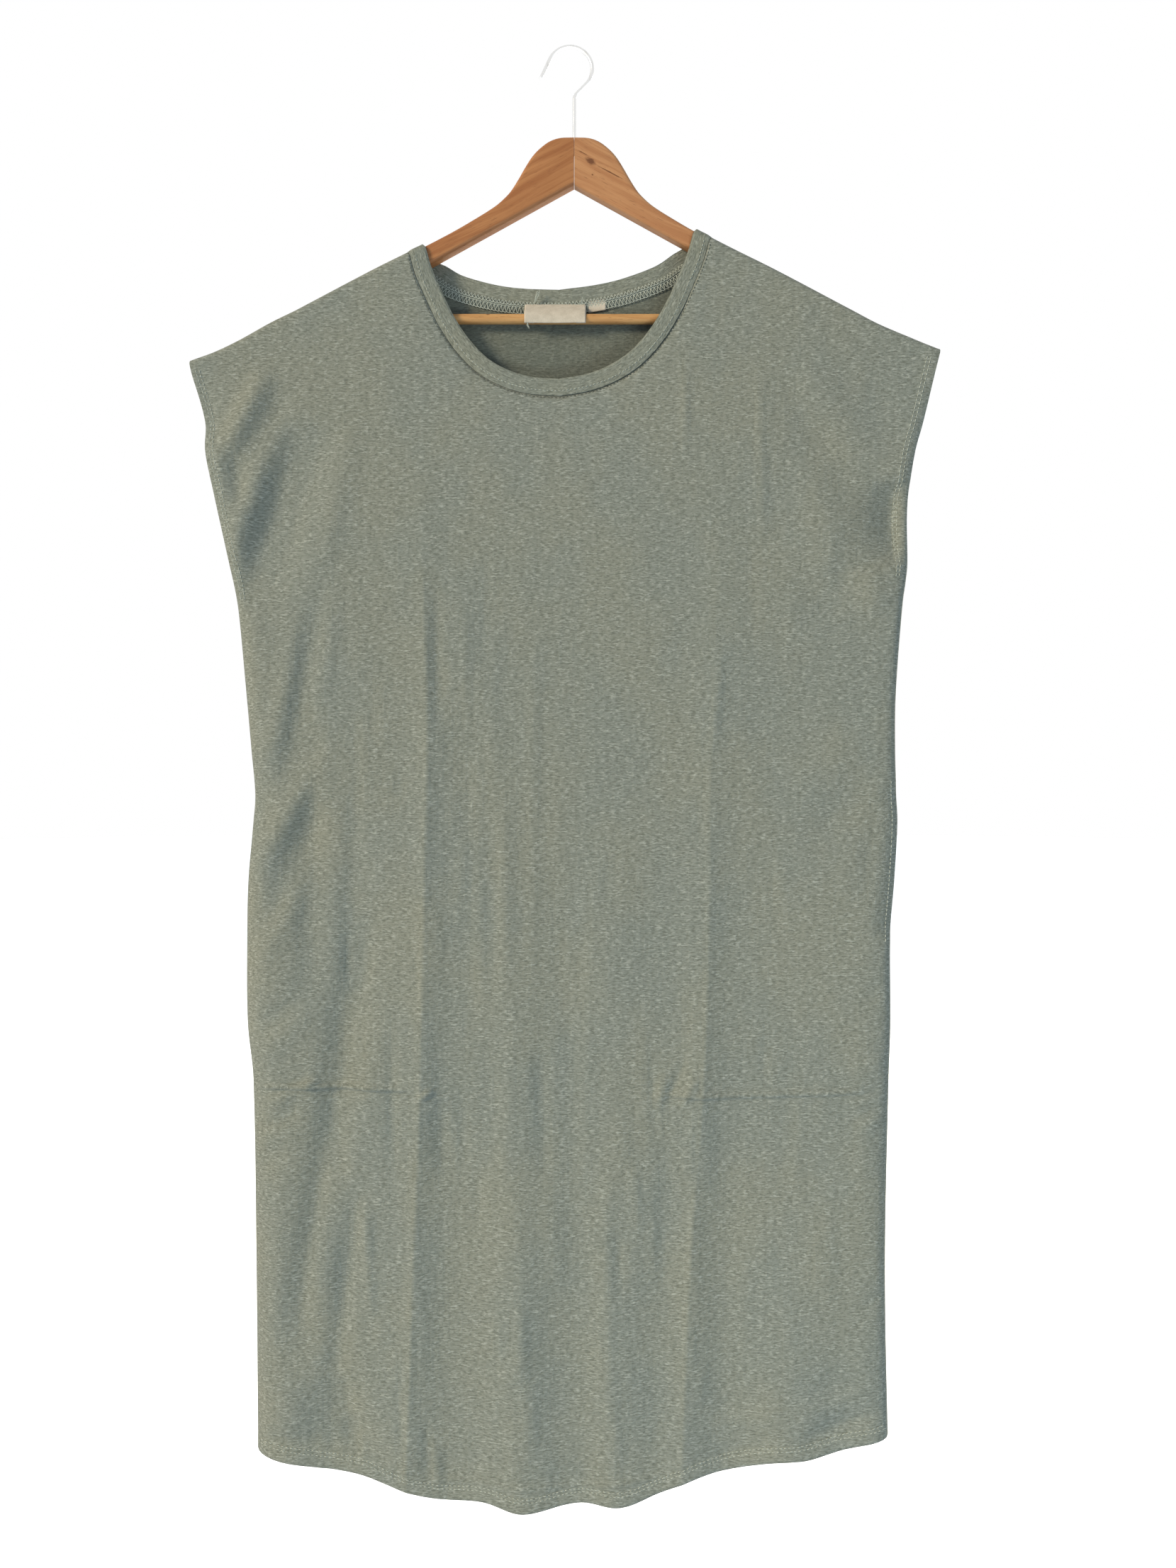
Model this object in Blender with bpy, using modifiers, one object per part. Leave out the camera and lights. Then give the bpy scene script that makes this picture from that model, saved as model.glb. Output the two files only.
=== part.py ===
"""A knit T-shirt dress hanging on a flat wooden hanger.

Metres, +Z up. The front of the dress faces -Y and +X is at the viewer's right. The origin is the
inner top of the hanger's hook. The sizes below are in millimetres: "across" runs along X, "drop"
is the distance below the origin, "depth" is the distance from the plane of the side seams, to the
front or to the back, and "out" is the distance across from the hanger's middle.
"""

import bisect
import math

import bmesh
import bpy
from mathutils import Vector

MM = 0.001
OBJECT_NAME = "t_shirt_dress_on_hanger"

# Cloth and seams
CLOTH = 1.5
SEAM_GAP = 0.3
BAND_CLOTH = 2.1
BAND_WIDTH = 14.5
BAG_CLOTH = 1.0
LABEL_CLOTH = 1.0

# Hanger
HANGER_ACROSS = 3.4
HANGER_HALF = 222.5
ARM_DEPTH = 12.0
ARM_EDGE_RADIUS = 3.0
ARM_SLOPE = 0.529
ARM_UNDER_DROP = 111.5
ARM_UNDER_SLOPE = 0.554
ARM_NOSE_TOP = 4.0
ARM_NOSE_FOOT = 7.0
ARM_NOSE_CUT = 5.0
JOINT_OVERLAP = 8.0
BAR_DROP = 217.6
BAR_RADIUS = 4.0
BAR_HALF = 209.0
WIRE_RADIUS = 1.5
HOOK_RADIUS = 17.9
HOOK_OPEN_ANGLE = 155
HOOK_NECK_ANGLE = -45
HOOK_STEPS = 14
HOOK_TIP_LENGTH = 17.7
HOOK_BEND_RADIUS = 8.0
HOOK_BEND_ANGLES = (135, 150, 165, 180)
STEM_DEPTH = 14.0

# Top edge of an arm: the crest in the middle of the hanger, its shoulder, and the slight camber
# of the arm out to its end
ARM_TOP_COLUMNS = ("out", "drop")
ARM_TOP = (
    (0, 73.4),
    (12, 74.0),
    (20.5, 77.1),
    (28.5, 83.2),
    (34, 89.3),
    (39.5, 97.9),
    (45, 107.5),
    (51, 116.8),
    (57, 123.2),
    (63, 128.3),
    (74.5, 135.8),
    (97, 149.0),
    (125, 163.6),
    (160, 181.0),
    (222.5, 214.0),
)

# How the cloth passes over the arms and closes at its side seams
ROOF_CLEAR = 1.2
ROOF_ROLL = 4.5
ROLL_ANGLES = (0, 25, 50, 90)
SIDE_STEPS = (0.0, 0.1, 0.4)

# The shoulder line beyond the arm's end: fall of the cap on each side
CAP_COLUMNS = ("out", "left", "right")
CAP = (
    (0, 0.0, 0.0),
    (20, 9.8, 10.5),
    (45, 23.8, 21.2),
    (66, 33.8, 29.7),
    (86, 40.8, 35.8),
)

# The side edges: armhole edge down to the underarm, then the side seam
SIDE_COLUMNS = ("drop", "left", "right")
SIDES = (
    (244, -303.0, 296.0),
    (257, -303.0, 292.5),
    (303, -290.5, 281.0),
    (326, -290.0, 274.5),
    (360, -283.0, 269.5),
    (417, -270.5, 268.5),
    (448, -265.0, 264.5),
    (520, -258.0, 259.0),
    (565, -254.0, 258.5),
    (600, -251.0, 259.5),
    (622, -252.5, 260.5),
    (668, -256.5, 258.0),
    (713, -257.5, 254.5),
    (782, -257.0, 254.5),
    (827, -252.5, 253.0),
    (976, -250.0, 250.0),
    (1135, -248.5, 252.5),
)
TIP_DROP = {"left": 255.0, "right": 244.0}
UNDERARM_DROP = {"left": 448.0, "right": 430.0}

# Half the opening between the panels along the armholes and the pocket mouth
ARMHOLE_GAPE = 6.5
POCKET_GAPE = 4.2
POCKET_TOP = 586.0
POCKET_FOOT = 718.0
POCKET_FADE = 18.0

# Distance of each panel from the seam plane, down the middle, and the width over which it closes
DEPTH_COLUMNS = ("drop", "front", "back", "side_roll")
DEPTHS = (
    (140, 7.0, 7.0, 9.0),
    (240, 7.2, 7.2, 9.0),
    (330, 9.5, 9.0, 10.0),
    (450, 12.0, 11.5, 14.0),
    (700, 15.0, 14.5, 22.0),
    (900, 17.5, 16.5, 28.0),
    (1160, 21.0, 19.0, 34.0),
)

# Long folds. A ridge has a positive depth, a valley a negative one. Each grows from its start
# to the foot, and its middle moves from one place across at the start to another at the foot.
FOLD_COLUMNS = ("top_across", "foot_across", "start", "depth", "half_width")
FRONT_FOLDS = (
    (-187, -187, 760, -6.0, 36),
    (-119, -130, 300, 9.0, 24),
    (-104, -104, 330, -7.0, 20),
    (-62, -55, 780, 10.0, 36),
    (-30, -30, 660, -9.0, 22),
    (8, 8, 700, 6.0, 26),
    (41, 40, 640, -6.5, 17),
    (121, 90, 300, 10.0, 25),
    (128, 120, 600, -10.0, 25),
    (166, 165, 830, 5.5, 30),
    (214, 214, 960, -4.0, 22),
)
BACK_FOLDS = (
    (-196, -205, 820, -5.0, 30),
    (-122, -112, 300, 9.0, 25),
    (-96, -84, 420, -7.0, 22),
    (-40, -46, 720, 7.0, 34),
    (-6, -4, 640, -7.0, 22),
    (36, 44, 760, 6.5, 30),
    (118, 116, 300, 9.5, 24),
    (140, 146, 500, -7.5, 26),
    (188, 196, 860, 4.5, 30),
)
FOLD_FOOT = 1153.0
FOLD_LEAD = 0.2
FOLD_FADE_IN = 0.17

# Lower edge of the dress
HEM_COLUMNS = ("across", "front", "back")
HEM = (
    (-250, 1121, 1123),
    (-205, 1129, 1126),
    (-160, 1136, 1129),
    (-125, 1148, 1136),
    (-97, 1154, 1141),
    (-65, 1155, 1144),
    (-35, 1161, 1146),
    (10, 1155, 1146),
    (42, 1157, 1144),
    (70, 1148, 1141),
    (98, 1137, 1136),
    (126, 1131, 1130),
    (160, 1124, 1125),
    (190, 1122, 1122),
    (225, 1114, 1115),
    (254, 1107, 1109),
)

# Neckline. The neck points lie on the arms; the seam hangs between them, and its place is given
# as shares of half its width and of its full fall, from a neck point to the middle.
NECK_LEFT = -129.7
NECK_RIGHT = 113.2
NECK_BOTTOM = {"front": 282.8, "back": 205.3}
NECK_COLUMNS = ("across_share", "fall_share")
FRONT_NECK = (
    (1.0, 0.0),
    (0.962, 0.135),
    (0.892, 0.30),
    (0.81, 0.475),
    (0.695, 0.655),
    (0.55, 0.81),
    (0.38, 0.915),
    (0.20, 0.975),
    (0.0, 1.0),
)
BACK_NECK = (
    (1.0, 0.0),
    (0.93, 0.17),
    (0.845, 0.34),
    (0.70, 0.60),
    (0.46, 0.83),
    (0.25, 0.94),
    (0.0, 1.0),
)
NECK_TURN = 34.0

# Pocket bag at the viewer's right: its near and far edges, as distances from the side edge
BAG_COLUMNS = ("drop", "near", "far")
BAG = (
    (572, 10, 68),
    (580, 6, 76),
    (592, 2, 84),
    (618, 2, 96),
    (663, 2, 119),
    (700, 2, 125),
    (722, 5, 123),
    (750, 22, 113),
    (777, 40, 96),
    (800, 50, 74),
)
BAG_HALF_GAP = 2.8
BAG_SEAM_ROLL = 9.0
BAG_MOUTH_RUN = 26.0

# Labels at the back neck, hanging from the seam: depth behind the seam plane, and drop
PATH_COLUMNS = ("depth", "drop")
LABEL_PATH = (
    (6.85, 203.0),
    (3.0, 206.6),
    (-0.8, 210.2),
    (-3.5, 213.6),
    (-4.9, 217.6),
    (-5.0, 222.4),
)
LABEL_LEFT = -36.0
LABEL_RIGHT = 12.2
TAB_PATH = ((6.85, 200.6), (6.3, 203.7), (5.8, 206.9), (5.9, 210.0))
TAB_LEFT = 15.0
TAB_RIGHT = 28.6
TAB_TILT = 0.16

# Grid steps
PANEL_COLUMNS = 32
PANEL_ROWS = 33
NECK_STEPS = 22
BAND_ROWS = 2
BAG_GRID_COLUMNS = 12
BAG_GRID_ROWS = 14
LABEL_GRID_COLUMNS = 6
ROWS_A_STEP = 2
ROD_SEGMENTS = 20
BEVEL_SEGMENTS = 3
BEVEL_ANGLE = math.radians(50)
FLAT_ANGLE = math.radians(0.5)

# How far cutters reach past what they cut
CUT_REACH = 25.0
CUT_DEPTH = 200.0

COLOURS = {
    "jersey": ((0.235, 0.245, 0.200, 1.0), 0.92, 0.0),
    "label": ((0.62, 0.55, 0.47, 1.0), 0.85, 0.0),
    "wood": ((0.46, 0.25, 0.12, 1.0), 0.55, 0.0),
    "bar_wood": ((0.55, 0.36, 0.18, 1.0), 0.55, 0.0),
    "wire": ((0.72, 0.72, 0.71, 1.0), 0.25, 1.0),
}


def column(columns, rows, name):
    """One named column of a table."""
    place_in_row = columns.index(name)
    return [row[place_in_row] for row in rows]


def slope_at(xs, ys, i):
    """Slope of the curve through a table's points at one of them."""
    low = max(i - 1, 0)
    high = min(i + 1, len(xs) - 1)
    return (ys[high] - ys[low]) / (xs[high] - xs[low])


def smooth_at(xs, ys, x):
    """Height at x of the smooth curve through a table's points."""
    x = min(max(x, xs[0]), xs[-1])
    i = min(bisect.bisect_right(xs, x) - 1, len(xs) - 2)
    span = xs[i + 1] - xs[i]
    t = (x - xs[i]) / span
    rise_0 = slope_at(xs, ys, i) * span
    rise_1 = slope_at(xs, ys, i + 1) * span
    return (
        (2 * t**3 - 3 * t**2 + 1) * ys[i]
        + (t**3 - 2 * t**2 + t) * rise_0
        + (3 * t**2 - 2 * t**3) * ys[i + 1]
        + (t**3 - t**2) * rise_1
    )


def read_table(columns, rows, name, x):
    """Height at x of the smooth curve through one column, over the table's first column."""
    return smooth_at(column(columns, rows, columns[0]), column(columns, rows, name), x)


def ease(low, high, x):
    """0 below low, 1 above high and smooth between."""
    t = min(max((x - low) / (high - low), 0.0), 1.0)
    return t * t * (3 - 2 * t)


def quarter_round(share):
    """Height of a quarter ellipse at a share of its run, 1 beyond it."""
    share = min(max(share, 0.0), 1.0)
    return math.sqrt(1 - (1 - share) ** 2)


def place(across, depth, drop):
    """A point in metres from millimetres; depth is positive behind the seam plane."""
    return Vector((across, depth, -drop)) * MM


# The shape of the cloth


def arm_top(out):
    """Drop of an arm's top edge."""
    return read_table(ARM_TOP_COLUMNS, ARM_TOP, "drop", out)


def arm_under(out):
    """Drop of an arm's lower edge."""
    return ARM_UNDER_DROP + ARM_UNDER_SLOPE * out


def roof_drop(across):
    """Drop of the shoulder line, where front and back meet over the arms and along the caps."""
    side = "left" if across < HANGER_ACROSS else "right"
    neck = NECK_LEFT if side == "left" else NECK_RIGHT
    out = abs(across - HANGER_ACROSS)
    free_edge = abs(neck - HANGER_ACROSS) - BAND_WIDTH
    base = arm_top(min(max(out, free_edge), HANGER_HALF)) - ROOF_CLEAR
    if out <= HANGER_HALF:
        return base
    return base + read_table(CAP_COLUMNS, CAP, side, out - HANGER_HALF)


def roof_direction(side):
    """Unit steps (across, drop) up the shoulder line to the neck, and square to it downwards."""
    inward = 1 if side == "left" else -1
    length = math.hypot(1, ARM_SLOPE)
    along = (inward / length, -ARM_SLOPE / length)
    down = (inward * ARM_SLOPE / length, 1 / length)
    return along, down


def below_roof(across, drop):
    """Distance from the shoulder line, square to it."""
    return (drop - roof_drop(across)) / math.hypot(1, ARM_SLOPE)


def side_edge(side, drop):
    """Place across of a side edge."""
    return read_table(SIDE_COLUMNS, SIDES, side, max(drop, TIP_DROP[side]))


def side_roll(drop):
    """Width over which the panels close towards a side edge."""
    return read_table(DEPTH_COLUMNS, DEPTHS, "side_roll", drop)


def pocket_mouth(drop):
    """1 along the pocket's mouth, 0 above and below it."""
    opening = ease(POCKET_TOP, POCKET_TOP + POCKET_FADE, drop)
    closing = ease(POCKET_FOOT - POCKET_FADE, POCKET_FOOT, drop)
    return opening - closing


def edge_gape(side, drop):
    """Half the opening between the panels at a side edge: the armhole, and the pocket mouth."""
    share = (drop - TIP_DROP[side]) / (UNDERARM_DROP[side] - TIP_DROP[side])
    share = min(max(share, 0.0), 1.0)
    armhole = ARMHOLE_GAPE * math.sqrt(1 - share**3)
    if side == "left":
        return armhole
    return max(armhole, POCKET_GAPE * pocket_mouth(drop))


def fold_depth(layer, across, drop):
    """Depth that the long folds add to a panel."""
    total = 0.0
    for row in FRONT_FOLDS if layer == "front" else BACK_FOLDS:
        fold = dict(zip(FOLD_COLUMNS, row))
        share = min(max((drop - fold["start"]) / (FOLD_FOOT - fold["start"]), 0.0), 1.0)
        middle = fold["top_across"] + (fold["foot_across"] - fold["top_across"]) * share
        grown = ease(-FOLD_LEAD, 1, share) * ease(0, FOLD_FADE_IN, share)
        total += fold["depth"] * grown * math.exp(-(((across - middle) / fold["half_width"]) ** 2))
    return total


def depth_at(layer, across, drop):
    """Distance of a panel's inner face from the seam plane."""
    full = read_table(DEPTH_COLUMNS, DEPTHS, layer, drop) + fold_depth(layer, across, drop)
    left = side_edge("left", drop)
    right = side_edge("right", drop)
    side, inside = ("left", across - left) if across < (left + right) / 2 else ("right", right - across)
    gape = edge_gape(side, drop)
    closed = gape + (full - gape) * quarter_round(inside / side_roll(drop))
    return SEAM_GAP / 2 + closed * quarter_round(below_roof(across, drop) / ROOF_ROLL)


def on_layer(layer, across, drop):
    """A point on the inner face of the front or the back."""
    depth = depth_at(layer, across, drop)
    return place(across, -depth if layer == "front" else depth, drop)


# Objects


def new_object(name, mesh, material, smooth_angle=35):
    """Put a mesh in the object's collection with its material."""
    mesh.materials.append(bpy.data.materials[material])
    mesh.shade_smooth()
    mesh.set_sharp_from_angle(angle=math.radians(smooth_angle))
    made = bpy.data.objects.new(name, mesh)
    bpy.data.collections[OBJECT_NAME].objects.link(made)
    return made


def sheet(name, material, columns, rows, point, thickness, flip=False, ring=False):
    """A sheet of cloth: a grid placed by point(column, row), thickened along its faces' normals."""
    mesh = bpy.data.meshes.new(name)
    shape = bmesh.new()
    bmesh.ops.create_grid(shape, x_segments=columns, y_segments=rows, size=1)
    for vert in shape.verts:
        at_column = round((vert.co.x + 1) / 2 * columns)
        at_row = round((1 - vert.co.y) / 2 * rows)
        vert.co = point(at_column, at_row)
    if ring:
        bmesh.ops.remove_doubles(shape, verts=shape.verts, dist=1e-6)
    if flip:
        bmesh.ops.reverse_faces(shape, faces=shape.faces)
    shape.to_mesh(mesh)
    shape.free()
    made = new_object(name, mesh, material)
    thicken = made.modifiers.new("thickness", "SOLIDIFY")
    thicken.thickness = thickness * MM
    thicken.offset = 1
    thicken.use_even_offset = True
    thicken.use_quality_normals = True
    return made


def curve_to_mesh(curve_object):
    """Make a welded mesh of a curve, in its place."""
    bpy.context.view_layer.update()
    evaluated = curve_object.evaluated_get(bpy.context.evaluated_depsgraph_get())
    mesh = bpy.data.meshes.new_from_object(evaluated)
    shape = bmesh.new()
    shape.from_mesh(mesh)
    bmesh.ops.remove_doubles(shape, verts=shape.verts, dist=1e-6)
    bmesh.ops.dissolve_limit(shape, angle_limit=FLAT_ANGLE, verts=shape.verts, edges=shape.edges)
    bmesh.ops.transform(shape, matrix=curve_object.matrix_world, verts=shape.verts)
    bmesh.ops.recalc_face_normals(shape, faces=shape.faces)
    shape.to_mesh(mesh)
    shape.free()
    bpy.data.objects.remove(curve_object)
    return mesh


def slab(name, outline, depth):
    """Mesh of a flat outline (across, drop), cut from a board of the given depth."""
    curve = bpy.data.curves.new(name, "CURVE")
    curve.dimensions = "2D"
    curve.fill_mode = "BOTH"
    curve.extrude = depth / 2 * MM
    line = curve.splines.new("POLY")
    line.points.add(len(outline) - 1)
    for point, (across, drop) in zip(line.points, outline):
        point.co = (across * MM, -drop * MM, 0, 1)
    line.use_cyclic_u = True
    flat = bpy.data.objects.new(name, curve)
    flat.rotation_euler = (math.radians(90), 0, 0)
    bpy.data.collections["cutters"].objects.link(flat)
    return curve_to_mesh(flat)


def rod_mesh(name, radius, start, end):
    """Mesh of a straight round rod between two points in millimetres (across, depth, drop)."""
    low = place(*start)
    high = place(*end)
    axis = high - low
    mesh = bpy.data.meshes.new(name)
    shape = bmesh.new()
    bmesh.ops.create_cone(
        shape,
        cap_ends=True,
        segments=ROD_SEGMENTS,
        radius1=radius * MM,
        radius2=radius * MM,
        depth=axis.length,
    )
    turn = axis.to_track_quat("Z", "Y").to_matrix().to_4x4()
    turn.translation = (low + high) / 2
    bmesh.ops.transform(shape, matrix=turn, verts=shape.verts)
    shape.to_mesh(mesh)
    shape.free()
    return mesh


def cut(target, name, mesh):
    """Cut a mesh out of a target; the cutter is left out of the model itself."""
    tool = bpy.data.objects.new(name, mesh)
    bpy.data.collections["cutters"].objects.link(tool)
    tool.display_type = "WIRE"
    tool.hide_render = True
    modifier = target.modifiers.new(name, "BOOLEAN")
    modifier.operation = "DIFFERENCE"
    modifier.object = tool


# Neckline


def neck_points(layer):
    """The neck seam from the left neck point to the right one, as (across, drop)."""
    rows = FRONT_NECK if layer == "front" else BACK_NECK
    across_shares = column(NECK_COLUMNS, rows, "across_share")
    fall_shares = column(NECK_COLUMNS, rows, "fall_share")
    steps = [i / (len(rows) - 1) for i in range(len(rows))]
    ends = {}
    for side, across in (("left", NECK_LEFT), ("right", NECK_RIGHT)):
        down = roof_direction(side)[1]
        ends[side] = (across + down[0] * ROOF_ROLL, roof_drop(across) + down[1] * ROOF_ROLL)
    middle = (ends["left"][0] + ends["right"][0]) / 2
    half = (ends["right"][0] - ends["left"][0]) / 2
    fall = NECK_BOTTOM[layer] - (ends["left"][1] + ends["right"][1]) / 2
    points = []
    for i in range(2 * NECK_STEPS + 1):
        position = i / NECK_STEPS - 1
        share = smooth_at(steps, across_shares, 1 - abs(position))
        across = middle + math.copysign(half * share, position)
        slant = (across - ends["left"][0]) / (ends["right"][0] - ends["left"][0])
        level = ends["left"][1] + slant * (ends["right"][1] - ends["left"][1])
        points.append((across, level + fall * smooth_at(steps, fall_shares, 1 - abs(position))))
    return points


def band_section(across, drop, direction):
    """The two edges of the neckband at one place, from its seam in a direction."""
    return (
        (across + direction[0] * SEAM_GAP, drop + direction[1] * SEAM_GAP),
        (across + direction[0] * BAND_WIDTH, drop + direction[1] * BAND_WIDTH),
    )


def neck_sections(layer):
    """Sections of the neckband along one neck seam: square to the seam, but up the arms at its ends."""
    points = neck_points(layer)
    walked = [0.0]
    for before, after in zip(points, points[1:]):
        walked.append(walked[-1] + math.dist(before, after))
    sections = []
    for i, (across, drop) in enumerate(points):
        before = points[max(i - 1, 0)]
        after = points[min(i + 1, len(points) - 1)]
        step = math.dist(before, after)
        square = ((after[1] - before[1]) / step, -(after[0] - before[0]) / step)
        along = roof_direction("left" if i <= len(points) // 2 else "right")[0]
        turn = ease(0, NECK_TURN, min(walked[i], walked[-1] - walked[i]))
        blend = (along[0] + (square[0] - along[0]) * turn, along[1] + (square[1] - along[1]) * turn)
        length = math.hypot(*blend)
        sections.append(band_section(across, drop, (blend[0] / length, blend[1] / length)))
    return sections


def neck_roll(side):
    """Sections of the neckband from the shoulder line down to the start of the neck seam."""
    across = NECK_LEFT if side == "left" else NECK_RIGHT
    along, down = roof_direction(side)
    sections = []
    for angle in ROLL_ANGLES[:-1]:
        fall = ROOF_ROLL * (1 - math.cos(math.radians(angle)))
        sections.append(band_section(across + down[0] * fall, roof_drop(across) + down[1] * fall, along))
    return sections


def build_neckband():
    """The folded band round the neck, passing over both arms of the hanger."""
    left = neck_roll("left")
    right = neck_roll("right")
    ring = [("front", section) for section in left + neck_sections("front") + right[::-1]]
    ring += [("back", section) for section in (left + neck_sections("back") + right[::-1])[::-1]]

    def point(at_column, at_row):
        layer, (seam, free) = ring[at_column % len(ring)]
        share = at_row / BAND_ROWS
        across = seam[0] + (free[0] - seam[0]) * share
        drop = seam[1] + (free[1] - seam[1]) * share
        return on_layer(layer, across, drop)

    sheet("neckband", "jersey", len(ring), BAND_ROWS, point, BAND_CLOTH, flip=True, ring=True)


def cut_neck(panel, layer):
    """Cut the neck opening out of a panel, from the seam to above the shoulder line."""
    above = []
    for side, across in (("right", NECK_RIGHT), ("left", NECK_LEFT)):
        down = roof_direction(side)[1]
        above.append((across - down[0] * CUT_REACH, roof_drop(across) - down[1] * CUT_REACH))
    name = layer + "_neck"
    cut(panel, name, slab(name, neck_points(layer) + above, CUT_DEPTH))


# Dress


def column_across(at_column, columns, drop):
    """Place across of a grid column: close steps where the cloth rolls to a side edge."""
    left = side_edge("left", drop)
    right = side_edge("right", drop)
    roll = side_roll(drop)
    close = len(SIDE_STEPS)
    if at_column < close:
        return left + SIDE_STEPS[at_column] * roll
    if at_column > columns - close:
        return right - SIDE_STEPS[columns - at_column] * roll
    share = (at_column - close) / (columns - 2 * close)
    return left + roll + share * (right - left - 2 * roll)


def build_panel(layer):
    """Front or back, from the shoulder line to the hem, with its half of both caps."""
    columns = PANEL_COLUMNS + 2 * len(SIDE_STEPS)
    close = len(ROLL_ANGLES) - 1
    lean = math.hypot(1, ARM_SLOPE)
    shoulder = column(DEPTH_COLUMNS, DEPTHS, "drop")[0]
    lowest = column(SIDE_COLUMNS, SIDES, "drop")[-1]

    def point(at_column, at_row):
        drop = roof_drop(column_across(at_column, columns, shoulder))
        angle = ROLL_ANGLES[min(at_row, close)]
        drop += ROOF_ROLL * (1 - math.cos(math.radians(angle))) * lean
        if at_row > close:
            foot = read_table(HEM_COLUMNS, HEM, layer, column_across(at_column, columns, lowest))
            drop += (foot - drop) * (at_row - close) / PANEL_ROWS
        return on_layer(layer, column_across(at_column, columns, drop), drop)

    name = layer + "_panel"
    made = sheet(name, "jersey", columns, PANEL_ROWS + close, point, CLOTH, flip=layer == "back")
    cut_neck(made, layer)


def bag_mouth_depth(layer, drop):
    """Depth of a bag layer's inner face where it is sewn inside its panel along the mouth."""
    edge = side_edge("right", drop)
    near = read_table(BAG_COLUMNS, BAG, "near", drop)
    at_seam = depth_at(layer, edge - near, drop)
    slope = (at_seam - depth_at(layer, edge, drop)) / near
    return at_seam - (SEAM_GAP + BAG_CLOTH) * math.hypot(1, slope)


def build_pocket_bag(layer):
    """One layer of the in-seam pocket's bag, sewn to the other all round but for its mouth."""
    top, foot = BAG[0][0], BAG[-1][0]

    def point(at_column, at_row):
        drop = top + (foot - top) * at_row / BAG_GRID_ROWS
        edge = side_edge("right", drop)
        near = edge - read_table(BAG_COLUMNS, BAG, "near", drop)
        far = edge - read_table(BAG_COLUMNS, BAG, "far", drop)
        across = far + (near - far) * (at_column / BAG_GRID_COLUMNS)
        mouth = pocket_mouth(drop)
        from_near = near - across + mouth * BAG_SEAM_ROLL
        from_seams = min(across - far, from_near, drop - top, foot - drop)
        depth = SEAM_GAP / 2 + (BAG_HALF_GAP - SEAM_GAP / 2) * quarter_round(from_seams / BAG_SEAM_ROLL)
        open_share = mouth * (1 - ease(0, BAG_MOUTH_RUN, near - across))
        depth += (bag_mouth_depth(layer, drop) - depth) * open_share
        return place(across, -depth if layer == "front" else depth, drop)

    name = "pocket_bag_" + layer
    sheet(name, "jersey", BAG_GRID_COLUMNS, BAG_GRID_ROWS, point, BAG_CLOTH, flip=layer == "back")


def build_label(name, path, left, right, tilt=0.0):
    """A woven label or tab that hangs from the back neck seam along a path."""
    steps = list(range(len(path)))
    rows = (len(path) - 1) * ROWS_A_STEP

    def point(at_column, at_row):
        across = left + (right - left) * at_column / LABEL_GRID_COLUMNS
        depth = smooth_at(steps, column(PATH_COLUMNS, path, "depth"), at_row / ROWS_A_STEP)
        drop = smooth_at(steps, column(PATH_COLUMNS, path, "drop"), at_row / ROWS_A_STEP)
        return place(across, depth, drop - tilt * (across - left))

    sheet(name, "label", LABEL_GRID_COLUMNS, rows, point, LABEL_CLOTH)


# Hanger


def arm_outline(outward):
    """Outline of one arm, past the middle joint by a little that is cut off afterwards."""
    top = list(ARM_TOP[:-1])
    nose = [
        (HANGER_HALF - ARM_NOSE_TOP, arm_top(HANGER_HALF - ARM_NOSE_TOP)),
        (HANGER_HALF, arm_top(HANGER_HALF) + ARM_NOSE_TOP),
        (HANGER_HALF, arm_under(HANGER_HALF) - ARM_NOSE_FOOT),
        (HANGER_HALF - ARM_NOSE_CUT, arm_under(HANGER_HALF - ARM_NOSE_CUT)),
    ]
    foot = [(0.0, ARM_UNDER_DROP), (-JOINT_OVERLAP, ARM_UNDER_DROP), (-JOINT_OVERLAP, ARM_TOP[0][1])]
    return [(HANGER_ACROSS + outward * out, drop) for out, drop in top + nose + foot]


def build_arm(side):
    """One sawn wooden arm with rounded edges, its joint face, hook bore and bar socket."""
    outward = -1 if side == "left" else 1
    name = "hanger_arm_" + side
    made = new_object(name, slab(name, arm_outline(outward), ARM_DEPTH), "wood")
    rounding = made.modifiers.new("rounding", "BEVEL")
    rounding.width = ARM_EDGE_RADIUS * MM
    rounding.segments = BEVEL_SEGMENTS
    rounding.use_clamp_overlap = False
    rounding.limit_method = "ANGLE"
    rounding.angle_limit = BEVEL_ANGLE

    joint = HANGER_ACROSS + outward * SEAM_GAP / 2
    far = joint - outward * 2 * CUT_REACH
    top = ARM_TOP[0][1]
    above = top - CUT_REACH
    below = ARM_UNDER_DROP + CUT_REACH
    box = ((joint, above), (far, above), (far, below), (joint, below))
    cut(made, "joint_" + side, slab("joint_" + side, box, CUT_DEPTH))

    bore_top = (HANGER_ACROSS, 0, above)
    bore_foot = (HANGER_ACROSS, 0, top + STEM_DEPTH + SEAM_GAP)
    bore = rod_mesh("stem_bore_" + side, WIRE_RADIUS + SEAM_GAP, bore_top, bore_foot)
    cut(made, "stem_bore_" + side, bore)

    socket_mouth = (HANGER_ACROSS + outward * BAR_HALF / 2, 0, BAR_DROP)
    socket_end = (HANGER_ACROSS + outward * (BAR_HALF + SEAM_GAP), 0, BAR_DROP)
    socket = rod_mesh("bar_socket_" + side, BAR_RADIUS + SEAM_GAP, socket_mouth, socket_end)
    cut(made, "bar_socket_" + side, socket)


def build_bar():
    """The round bar between the arms."""
    left_end = (HANGER_ACROSS - BAR_HALF, 0, BAR_DROP)
    right_end = (HANGER_ACROSS + BAR_HALF, 0, BAR_DROP)
    new_object("hanger_bar", rod_mesh("hanger_bar", BAR_RADIUS, left_end, right_end), "bar_wood")


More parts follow.
